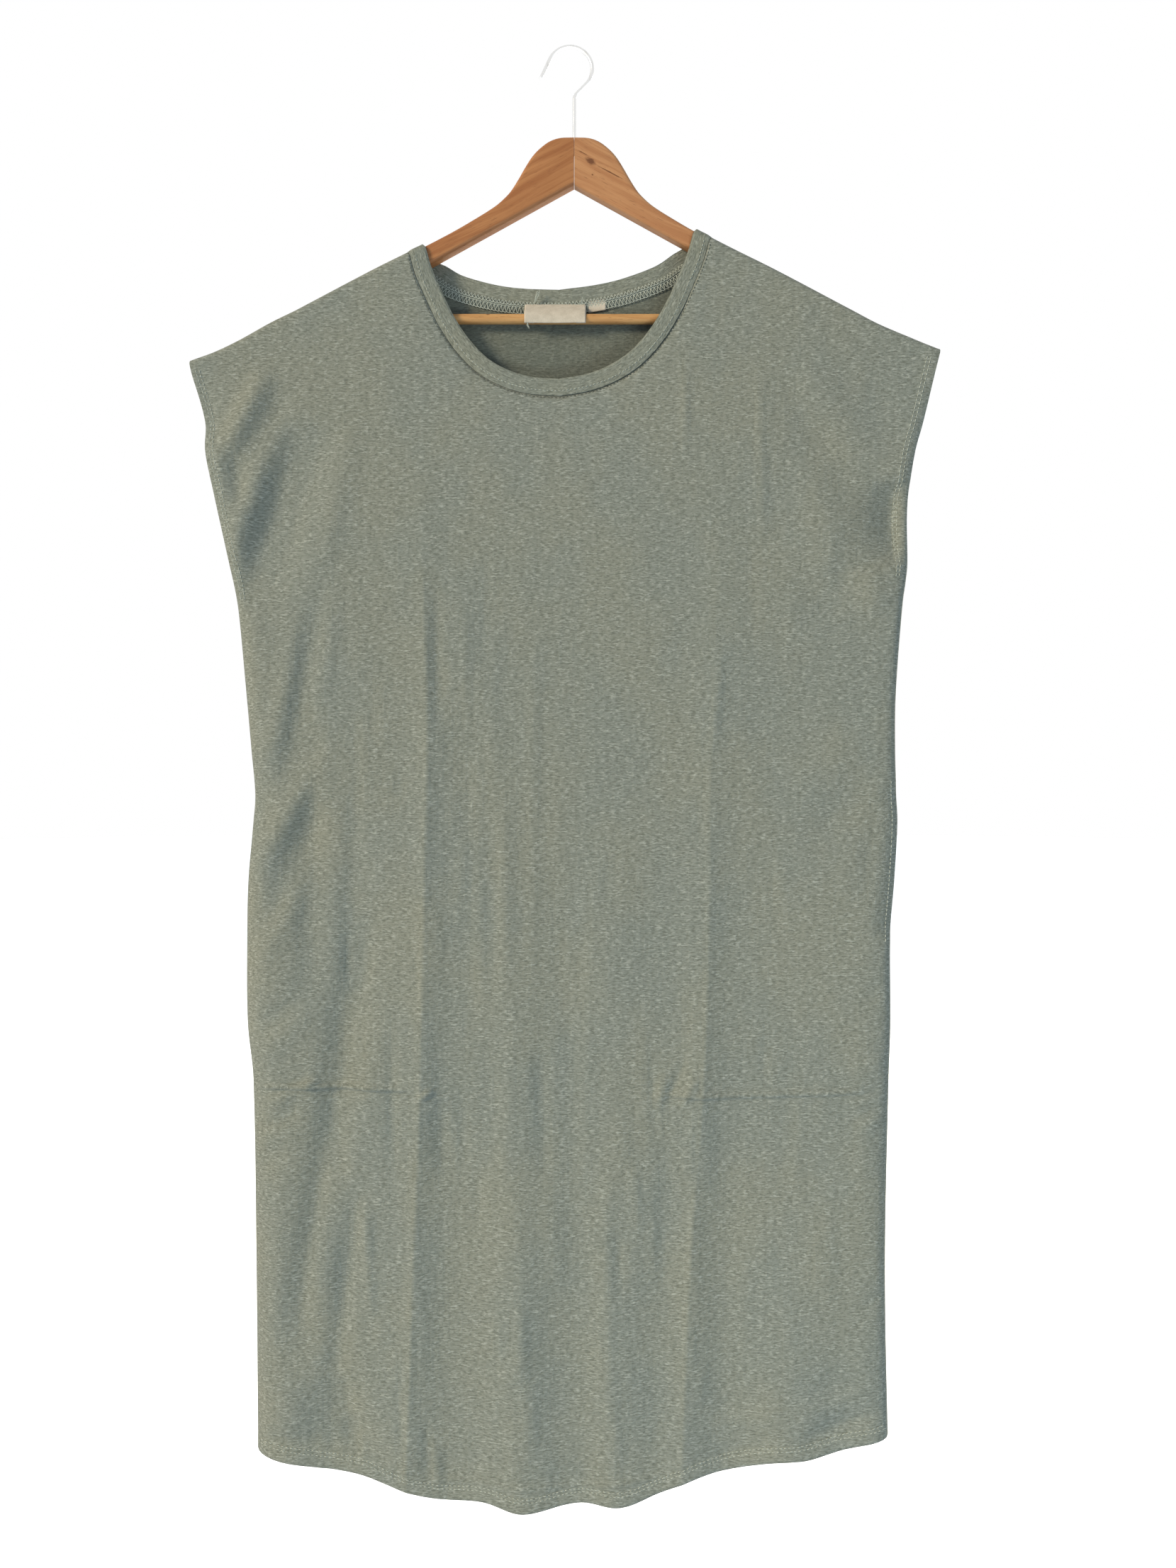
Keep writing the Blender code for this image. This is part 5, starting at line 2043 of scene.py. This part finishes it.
class Nodes:
    """Short ways to add and join shader nodes of one material."""

    def __init__(self, name: str) -> None:
        """Start a material with a plain principled shader.

        Args:
            name: Name of the material.
        """
        self.material = bpy.data.materials.new(name)
        self.material.use_nodes = True
        self.tree = self.material.node_tree
        self.shader = self.tree.nodes["Principled BSDF"]

    def shade(self, **values: float | Colour | bpy.types.NodeSocket) -> None:
        """Set the shader's sockets, whose names are given with underscores for their spaces.

        Args:
            values: A constant, or a socket to join, for each.
        """
        for name, value in values.items():
            self.feed(value, self.shader.inputs[name.replace("_", " ")])

    def feed(self, value: float | Colour | bpy.types.NodeSocket, into: bpy.types.NodeSocket) -> None:
        """Join a socket to another one, or set a constant on it.

        Args:
            value: The socket or the constant.
            into: The socket that takes it.
        """
        if isinstance(value, bpy.types.NodeSocket):
            self.tree.links.new(value, into)
        else:
            into.default_value = value

    def add(self, kind: str, **values: object) -> bpy.types.Node:
        """Add a node.

        Args:
            kind: Its type in Blender.
            values: Its own properties.

        Returns:
            The node.
        """
        node = self.tree.nodes.new(kind)
        for name, value in values.items():
            setattr(node, name, value)
        return node

    def coordinates(
        self, source: str, scale: tuple[float, float, float], turn: float = 0.0
    ) -> bpy.types.NodeSocket:
        """Coordinates, scaled, and turned about Y first.

        Args:
            source: "UV" for the flat cloth in metres, or "Object" for the frame in metres.
            scale: Scale along each axis after the turn.
            turn: Angle about Y in radians.

        Returns:
            The socket with the coordinates.
        """
        out = self.add("ShaderNodeTexCoord").outputs[source]
        if turn:
            out = self.turned(out, turn)
        return self.scaled(out, scale)

    def turned(self, vector: bpy.types.NodeSocket, turn: float) -> bpy.types.NodeSocket:
        """A vector turned about Y.

        Args:
            vector: The vector.
            turn: Angle in radians.

        Returns:
            The socket with the turned vector.
        """
        node = self.add("ShaderNodeVectorRotate", rotation_type="Y_AXIS")
        self.feed(turn, node.inputs["Angle"])
        self.feed(vector, node.inputs["Vector"])
        return node.outputs["Vector"]

    def scaled(
        self, vector: bpy.types.NodeSocket, scale: tuple[float, float, float]
    ) -> bpy.types.NodeSocket:
        """A vector scaled along each axis.

        Args:
            vector: The vector.
            scale: The scales.

        Returns:
            The socket with the scaled vector.
        """
        node = self.add("ShaderNodeMapping")
        self.feed(scale, node.inputs["Scale"])
        self.feed(vector, node.inputs["Vector"])
        return node.outputs["Vector"]

    def noise(
        self,
        vector: bpy.types.NodeSocket,
        detail: float = 2.0,
        rough: float = 0.5,
        distortion: float = 0.0,
    ) -> bpy.types.NodeSocket:
        """Noise from 0 to 1.

        Args:
            vector: Coordinates, already scaled.
            detail: Its levels of detail.
            rough: How strong the finer levels are.
            distortion: How far it is distorted.

        Returns:
            The socket with the noise.
        """
        node = self.add("ShaderNodeTexNoise")
        self.feed(1.0, node.inputs["Scale"])
        self.feed(detail, node.inputs["Detail"])
        self.feed(rough, node.inputs["Roughness"])
        self.feed(distortion, node.inputs["Distortion"])
        self.feed(vector, node.inputs["Vector"])
        return node.outputs["Fac"]

    def ramp(self, value: bpy.types.NodeSocket, low: float, high: float) -> bpy.types.NodeSocket:
        """A value stretched smoothly and held between 0 and 1.

        Args:
            value: The value.
            low: What gives 0.
            high: What gives 1.

        Returns:
            The socket with the result.
        """
        node = self.add("ShaderNodeMapRange", interpolation_type="SMOOTHSTEP")
        self.feed(low, node.inputs["From Min"])
        self.feed(high, node.inputs["From Max"])
        self.feed(value, node.inputs["Value"])
        return node.outputs["Result"]

    def math(
        self, kind: str, first: bpy.types.NodeSocket, second: bpy.types.NodeSocket | float
    ) -> bpy.types.NodeSocket:
        """A sum, product or other operation on two values.

        Args:
            kind: Blender's name of the operation.
            first: The first value.
            second: The second one.

        Returns:
            The socket with the result.
        """
        node = self.add("ShaderNodeMath", operation=kind)
        self.feed(first, node.inputs[0])
        self.feed(second, node.inputs[1])
        return node.outputs["Value"]

    def times(self, first: bpy.types.NodeSocket, second: float) -> bpy.types.NodeSocket:
        """A value times a number."""
        return self.math("MULTIPLY", first, second)

    def plus(
        self, first: bpy.types.NodeSocket, second: bpy.types.NodeSocket | float
    ) -> bpy.types.NodeSocket:
        """The sum of two values."""
        return self.math("ADD", first, second)

    def mix(
        self,
        share: bpy.types.NodeSocket | float,
        first: bpy.types.NodeSocket | Colour,
        second: bpy.types.NodeSocket | Colour,
    ) -> bpy.types.NodeSocket:
        """Blend of two colours.

        Args:
            share: Share of the second colour.
            first: The first colour.
            second: The second one.

        Returns:
            The socket with the colour.
        """
        node = self.add("ShaderNodeMix", data_type="RGBA")
        for value, place in ((share, 0), (first, 6), (second, 7)):
            self.feed(value, node.inputs[place])
        return node.outputs[2]

    def bump(self, height: bpy.types.NodeSocket, distance: float, strength: float) -> None:
        """Bump the shader's normal.

        Args:
            height: The heights, from 0 to about 1.
            distance: What a height of 1 stands for, in metres.
            strength: How strongly it shows.
        """
        node = self.add("ShaderNodeBump")
        self.feed(distance, node.inputs["Distance"])
        self.feed(strength, node.inputs["Strength"])
        self.feed(height, node.inputs["Height"])
        self.shade(Normal=node.outputs["Normal"])


@dataclass(frozen=True)
class Jersey:
    """Slub jersey: heathered knit with short light and dark dashes along its courses.

    Attributes:
        name: Name of the material.
        base: Its main colour.
        light: Colour of the light slubs.
        dark: Colour of the dark ones.
        warm: Colour of its warmer blotches.
        cool: Colour of its cooler blotches.
    """

    name: str = "jersey"
    base: Colour = (0.22, 0.229, 0.192, 1)
    light: Colour = (0.39, 0.4, 0.348, 1)
    dark: Colour = (0.128, 0.136, 0.108, 1)
    warm: Colour = (0.234, 0.237, 0.187, 1)
    cool: Colour = (0.206, 0.224, 0.195, 1)

    def make(self) -> bpy.types.Material:
        """Build the material.

        Returns:
            The material.
        """
        n = Nodes(self.name)
        blotch = n.ramp(n.noise(n.coordinates("UV", (16, 9, 1)), detail=3), 0.36, 0.64)
        ground = n.mix(0.6, self.base, n.mix(blotch, self.cool, self.warm))
        dashes = n.noise(n.coordinates("UV", (250, 880, 1)), rough=0.65, distortion=0.4)
        shorts = n.noise(n.coordinates("UV", (430, 1500, 1)), detail=1.5, distortion=0.3)
        patches = n.ramp(n.noise(n.coordinates("UV", (95, 300, 1)), detail=1), 0.36, 0.64)
        wales = n.noise(n.coordinates("UV", (420, 16, 1)))
        crinkle = n.noise(n.coordinates("UV", (95, 190, 1)))
        strength = n.plus(n.times(patches, 0.7), 0.2)
        light_share = n.math("MULTIPLY", n.ramp(dashes, 0.46, 0.7), strength)
        inverse = n.math("SUBTRACT", n.times(dashes, -1.0), -1.0)
        colour = n.mix(n.times(n.ramp(inverse, 0.48, 0.68), 0.8), ground, self.dark)
        colour = n.mix(light_share, colour, self.light)
        colour = n.mix(n.times(n.ramp(shorts, 0.64, 0.74), 0.55), colour, self.light)
        colour = n.mix(n.times(n.ramp(wales, 0.6, 0.74), 0.1), colour, self.light)
        n.shade(Base_Color=colour, Roughness=n.plus(n.times(dashes, 0.12), 0.84))
        n.shade(Sheen_Weight=0.08, Sheen_Roughness=0.5, Specular_IOR_Level=0.2)
        height = n.plus(dashes, n.times(shorts, 0.5))
        height = n.plus(height, n.times(wales, 0.5))
        n.bump(n.plus(height, n.times(crinkle, 1.2)), 0.0006, 0.8)
        return n.material


@dataclass(frozen=True)
class SewingThread:
    """Spun polyester thread: a fine twist and a faint gloss.

    Attributes:
        name: Name of the material.
        light: Colour of the top of the twist.
        dark: Colour between the twists.
    """

    name: str
    light: Colour
    dark: Colour

    def make(self) -> bpy.types.Material:
        """Build the material.

        Returns:
            The material.
        """
        n = Nodes(self.name)
        twist = n.noise(n.coordinates("Object", (1600, 1600, 1600)), detail=1)
        n.shade(Base_Color=n.mix(n.ramp(twist, 0.3, 0.7), self.dark, self.light))
        n.shade(Roughness=n.plus(n.times(twist, 0.2), 0.55))
        n.bump(twist, 0.0001, 0.5)
        return n.material


@dataclass(frozen=True)
class Tape:
    """Woven label tape: off-white, close plain weave.

    Attributes:
        name: Name of the material.
        light: Colour of the top of the weave.
        dark: Colour between its threads.
    """

    name: str = "label_tape"
    light: Colour = (0.6, 0.525, 0.425, 1)
    dark: Colour = (0.47, 0.405, 0.315, 1)

    def make(self) -> bpy.types.Material:
        """Build the material.

        Returns:
            The material.
        """
        n = Nodes(self.name)
        wefts = n.noise(n.coordinates("UV", (700, 4200, 1)), detail=1)
        warps = n.noise(n.coordinates("UV", (3600, 500, 1)), detail=1)
        soil = n.noise(n.coordinates("UV", (160, 160, 1)), detail=3)
        weave = n.times(n.plus(wefts, warps), 0.5)
        share = n.plus(n.times(weave, 0.6), n.times(soil, 0.4))
        n.shade(Base_Color=n.mix(n.ramp(share, 0.36, 0.62), self.dark, self.light))
        n.shade(Roughness=n.plus(n.times(weave, 0.2), 0.7), Sheen_Weight=0.1)
        n.bump(weave, 0.0002, 0.5)
        return n.material


@dataclass(frozen=True)
class Knot:
    """A knot in the wood.

    Attributes:
        across: Its place across.
        drop: Its drop.
        along: Its radius along the grain.
        beside: Its radius across the grain.
    """

    across: float
    drop: float
    along: float
    beside: float


@dataclass(frozen=True)
class Wood:
    """Sawn wood with its grain along a board that leans in the plane of the hanger.

    Attributes:
        name: Name of the material.
        light: Colour of the early wood.
        dark: Colour of the late wood.
        pore: Colour of pores and knots.
        lean: Angle of the grain about Y, in radians.
        knots: Its knots.
        fine: How much finer than on the arms its growth rings are.
    """

    name: str
    light: Colour
    dark: Colour
    pore: Colour
    lean: float
    knots: tuple[Knot, ...] = ()
    fine: float = 1.0

    def make(self) -> bpy.types.Material:
        """Build the material.

        Returns:
            The material.
        """
        n = Nodes(self.name)
        warp = n.noise(n.coordinates("Object", (14, 14, 45), self.lean))
        shift = n.add("ShaderNodeCombineXYZ")
        n.feed(n.times(warp, 0.011), shift.inputs["Z"])
        moved = n.add("ShaderNodeVectorMath", operation="ADD")
        n.feed(n.coordinates("Object", (1, 1, 1), self.lean), moved.inputs[0])
        n.feed(shift.outputs["Vector"], moved.inputs[1])
        rings = n.scaled(moved.outputs["Vector"], (9 * self.fine, 120 * self.fine, 260 * self.fine))
        bands = n.noise(rings, detail=3, rough=0.6)
        fibres = n.noise(n.coordinates("Object", (55, 1400, 1900), self.lean))
        pores = n.noise(n.coordinates("Object", (150, 900, 2600), self.lean), detail=1)
        pores = n.ramp(pores, 0.66, 0.78)
        broad = n.noise(n.coordinates("Object", (16, 30, 30), self.lean))
        colour = n.mix(n.ramp(bands, 0.34, 0.68), self.light, self.dark)
        colour = n.mix(n.times(n.ramp(broad, 0.35, 0.7), 0.35), colour, self.dark)
        colour = n.mix(n.times(n.ramp(fibres, 0.45, 0.8), 0.35), colour, self.dark)
        colour = n.mix(n.times(pores, 0.55), colour, self.pore)
        for knot in self.knots:
            colour = n.mix(self.knot_share(n, knot), colour, self.pore)
        n.shade(Base_Color=colour, Roughness=n.plus(n.times(fibres, 0.25), 0.42))
        n.shade(Specular_IOR_Level=0.28)
        height = n.plus(n.times(bands, 0.5), n.times(fibres, 0.7))
        n.bump(n.math("SUBTRACT", height, n.times(pores, 0.8)), 0.0003, 0.45)
        return n.material

    def knot_share(self, n: Nodes, knot: Knot) -> bpy.types.NodeSocket:
        """How much of the knot's colour shows at a point.

        Args:
            n: The nodes of the material.
            knot: The knot.

        Returns:
            The socket with the share.
        """
        place = n.add("ShaderNodeVectorMath", operation="SUBTRACT")
        n.feed(n.add("ShaderNodeTexCoord").outputs["Object"], place.inputs[0])
        n.feed((knot.across * MM, -0.006, -knot.drop * MM), place.inputs[1])
        radii = (knot.along * MM, 8 * MM, knot.beside * MM)
        squeezed = n.scaled(n.turned(place.outputs["Vector"], self.lean), tuple(1 / r for r in radii))
        size = n.add("ShaderNodeVectorMath", operation="LENGTH")
        n.feed(squeezed, size.inputs[0])
        rough = n.noise(n.coordinates("Object", (420, 420, 900), self.lean))
        edge = n.plus(size.outputs["Value"], n.times(rough, 0.9))
        return n.math("SUBTRACT", n.times(n.ramp(edge, 0.8, 1.7), -0.85), -0.85)


@dataclass(frozen=True)
class Wire:
    """Bright plated steel wire with faint drawing marks.

    Attributes:
        name: Name of the material.
        base: Colour of the plating.
        worn: Colour of the marks.
    """

    name: str = "wire"
    base: Colour = (0.78, 0.78, 0.77, 1)
    worn: Colour = (0.6, 0.59, 0.57, 1)

    def make(self) -> bpy.types.Material:
        """Build the material.

        Returns:
            The material.
        """
        n = Nodes(self.name)
        marks = n.noise(n.coordinates("Object", (500, 500, 120)), detail=3)
        n.shade(Base_Color=n.mix(n.ramp(marks, 0.5, 0.85), self.base, self.worn))
        n.shade(Roughness=n.plus(n.times(marks, 0.22), 0.08), Metallic=1.0)
        n.bump(marks, 0.00005, 0.3)
        return n.material


# Studio


@dataclass
class Studio:
    """Plain pale floor, soft light and the camera at the photograph's viewing angle.

    Attributes:
        camera: Place of the camera, level with the chest of the dress.
        focal: Focal length in pixels of a picture 2212 pixels high.
        picture_height: Height of that picture.
        sensor: Width of the camera's sensor.
        floor_drop: How far the floor lies below the hook.
        fill: Strength of the light from all round.
    """

    camera: tuple[float, float, float] = (0.0145, -0.947, -0.5914)
    focal: float = 1661.0
    picture_height: float = 2212.0
    sensor: float = 24.0
    floor_drop: float = 1900.0
    fill: float = 0.45

    def place_camera(self) -> None:
        """Set up the camera."""
        data = bpy.data.cameras.new("camera")
        data.sensor_width = self.sensor
        data.lens = self.sensor * self.focal / self.picture_height
        data.clip_start = 0.01
        data.clip_end = 200
        made = bpy.data.objects.new("camera", data)
        made.location = self.camera
        made.rotation_euler = (math.pi / 2, 0, 0)
        bpy.context.scene.collection.objects.link(made)
        bpy.context.scene.camera = made

    def light(
        self,
        name: str,
        place: Sequence[float],
        aim: Sequence[float],
        size: float,
        power: float,
        colour: Sequence[float],
    ) -> None:
        """Add a square soft light.

        Args:
            name: Name of the light.
            place: Its place.
            aim: The point it faces.
            size: Its side in metres.
            power: Its power in watts.
            colour: Its colour.
        """
        data = bpy.data.lights.new(name, "AREA")
        data.size = size
        data.energy = power
        data.color = colour
        made = bpy.data.objects.new(name, data)
        made.location = place
        made.rotation_euler = (Vector(aim) - Vector(place)).to_track_quat("-Z", "Y").to_euler()
        made.visible_camera = False
        bpy.context.scene.collection.objects.link(made)

    def light_all_round(self) -> None:
        """Light from all round, which the camera and reflections see as white."""
        world = bpy.data.worlds.new("studio")
        world.use_nodes = True
        tree = world.node_tree
        soft = tree.nodes["Background"]
        soft.inputs["Color"].default_value = (0.7, 0.85, 1.0, 1)
        soft.inputs["Strength"].default_value = self.fill
        white = tree.nodes.new("ShaderNodeBackground")
        white.inputs["Color"].default_value = (1, 1, 1, 1)
        white.inputs["Strength"].default_value = 1.0
        seen = tree.nodes.new("ShaderNodeLightPath")
        either = tree.nodes.new("ShaderNodeMath")
        either.operation = "MAXIMUM"
        tree.links.new(seen.outputs["Is Camera Ray"], either.inputs[0])
        tree.links.new(seen.outputs["Is Glossy Ray"], either.inputs[1])
        mix = tree.nodes.new("ShaderNodeMixShader")
        tree.links.new(either.outputs["Value"], mix.inputs[0])
        tree.links.new(soft.outputs["Background"], mix.inputs[1])
        tree.links.new(white.outputs["Background"], mix.inputs[2])
        tree.links.new(mix.outputs["Shader"], tree.nodes["World Output"].inputs["Surface"])
        bpy.context.scene.world = world

    def build(self) -> None:
        """Make the floor, lights and camera."""
        self.place_camera()
        bpy.context.scene.view_settings.view_transform = "Standard"
        self.light_all_round()
        self.light("key", (-7.4, -5.1, 2.3), (0, 0, -0.7), 2.4, 880, (1.0, 0.88, 0.67))
        self.light("low", (0.9, -1.6, -1.95), (0.05, 0, -1.1), 0.9, 35, (0.84, 0.97, 1.0))
        self.light("back", (3.4, 4.6, 0.9), (0, 0, -0.7), 2.4, 360, (1.0, 0.9, 0.7))
        shape = bmesh.new()
        bmesh.ops.create_circle(shape, cap_ends=True, segments=96, radius=30)
        mesh = bpy.data.meshes.new("floor")
        shape.to_mesh(mesh)
        shape.free()
        floor = bpy.data.objects.new("floor", mesh)
        floor.location = (0, 0, -self.floor_drop * MM)
        bpy.context.scene.collection.objects.link(floor)
        n = Nodes("floor")
        n.shade(Base_Color=(0.85, 0.85, 0.84, 1), Roughness=0.9)
        n.shade(Emission_Color=(1, 1, 1, 1), Emission_Strength=0.85)
        mesh.materials.append(n.material)
        floor.visible_diffuse = False


# The whole


@dataclass
class Dress:
    """The dress itself: panels, neckband, pocket, labels and sewing.

    Attributes:
        form: Shape of the cloth.
    """

    form: DressForm

    def build(self, builder: Builder) -> None:
        """Make every piece of the dress.

        Args:
            builder: Puts the pieces on the body.
        """
        jersey = Jersey().make()
        # Inner faces of the panels: darker, cooler jersey, partly the duller wrong side of the knit and
        # partly painted shade for the shadow inside the dress.
        wrong_side_with_painted_shade = Jersey(
            name="jersey_inner_face_with_painted_shade",
            base=(0.142, 0.15, 0.12, 1),
            light=(0.215, 0.225, 0.188, 1),
            dark=(0.09, 0.096, 0.076, 1),
            warm=(0.148, 0.152, 0.118, 1),
            cool=(0.13, 0.144, 0.12, 1),
        ).make()
        band_jersey = Jersey(
            name="band_jersey",
            base=(0.2, 0.208, 0.166, 1),
            light=(0.34, 0.35, 0.295, 1),
        ).make()
        # Seam allowance: the dress's jersey made darker than its wrong side, painted shade for the shadow
        # inside the back neck.
        seam_jersey_painted_shade = Jersey(
            name="seam_jersey_painted_shade",
            base=(0.125, 0.138, 0.114, 1),
            light=(0.21, 0.228, 0.192, 1),
            dark=(0.075, 0.083, 0.067, 1),
        ).make()
        thread = SewingThread("thread", (0.5, 0.52, 0.45, 1), (0.36, 0.38, 0.32, 1)).make()
        dark_thread = SewingThread("seam_thread", (0.1, 0.107, 0.084, 1), (0.06, 0.066, 0.05, 1)).make()
        lacing = SewingThread("overlock_thread", (0.5, 0.53, 0.46, 1), (0.36, 0.385, 0.33, 1)).make()
        tape = Tape().make()
        for layer in Layer:
            panel = Panel(self.form, layer).build(builder, jersey, wrong_side_with_painted_shade)
        for layer in Layer:
            bag = PocketBag(self.form, layer).build(builder, jersey)
        band = Neckband(self.form).build(builder, band_jersey)
        main = Label(
            name="label_main",
            node="back_neck_label",
            path=Table(
                ("depth", "drop"),
                ((6.85, 203.0), (3.0, 206.6), (-0.8, 210.2), (-3.5, 213.6), (-4.9, 217.6), (-5.0, 222.4)),
            ),
            left=-36.0,
            right=12.2,
        ).build(builder, tape)
        tab = Label(
            name="label_tab",
            node="size_tab",
            path=Table(("depth", "drop"), ((6.85, 200.6), (6.3, 203.7), (5.8, 206.9), (5.9, 210.0))),
            left=15.0,
            right=28.6,
            tilt=0.16,
            fold=3.0,
            wave=0.15,
            columns=18,
            rows=12,
        ).build(builder, tape)
        sewing = Sewing(self.form)
        sewing.build_rows(builder, thread, dark_thread)
        NeckStrip(self.form).build(builder, seam_jersey_painted_shade, lacing)
        sewing.build_tufts(builder, lacing)


def dress_hanger(builder: Builder, form: DressForm) -> None:
    """Make the hanger's arms and hook, and give the bar its wood.

    Args:
        builder: Puts them on the body.
        form: Shape of the cloth, which holds the arms' top edge.
    """
    hanger = Hanger(form)
    slope = math.atan(form.arm_slope)
    light, dark, pore = (0.43, 0.19, 0.072, 1), (0.3, 0.112, 0.038, 1), (0.1, 0.03, 0.01, 1)
    left = Wood("arm_wood_left", light, dark, pore, slope)
    right = Wood(
        "arm_wood_right",
        (0.53, 0.265, 0.118, 1),
        (0.4, 0.175, 0.072, 1),
        pore,
        -slope,
        (
            Knot(16.5, 93.5, 5.0, 2.6),
            Knot(18.0, 104.5, 0.9, 0.7),
            Knot(33.0, 103.0, 13.0, 0.6),
            Knot(10.5, 87.0, 5.0, 0.5),
        ),
    )
    hanger.build_arm(builder, Side.LEFT, left.make())
    hanger.build_arm(builder, Side.RIGHT, right.make())
    hanger.build_hook(builder, Wire().make())
    bar_knots = (Knot(-66.0, 214.5, 2.2, 1.0),)
    bar_light, bar_dark = (0.6, 0.335, 0.13, 1), (0.47, 0.235, 0.082, 1)
    bar_wood = Wood("bar_wood", bar_light, bar_dark, pore, 0.0, bar_knots, 1.4).make()
    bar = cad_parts["hanger_bar"]
    bar.data.materials.clear()
    bar.data.materials.append(bar_wood)
    LOG.info("hanger_bar: kept, with its wood")


def main() -> None:
    """Build the studio, the hanger and the dress."""
    logging.basicConfig(level=logging.INFO, format="%(message)s")
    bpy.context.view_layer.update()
    Studio().build()
    builder = Builder()
    form = DressForm()
    dress_hanger(builder, form)
    Dress(form).build(builder)
    bpy.context.view_layer.update()


if __name__ == "__main__":
    main()
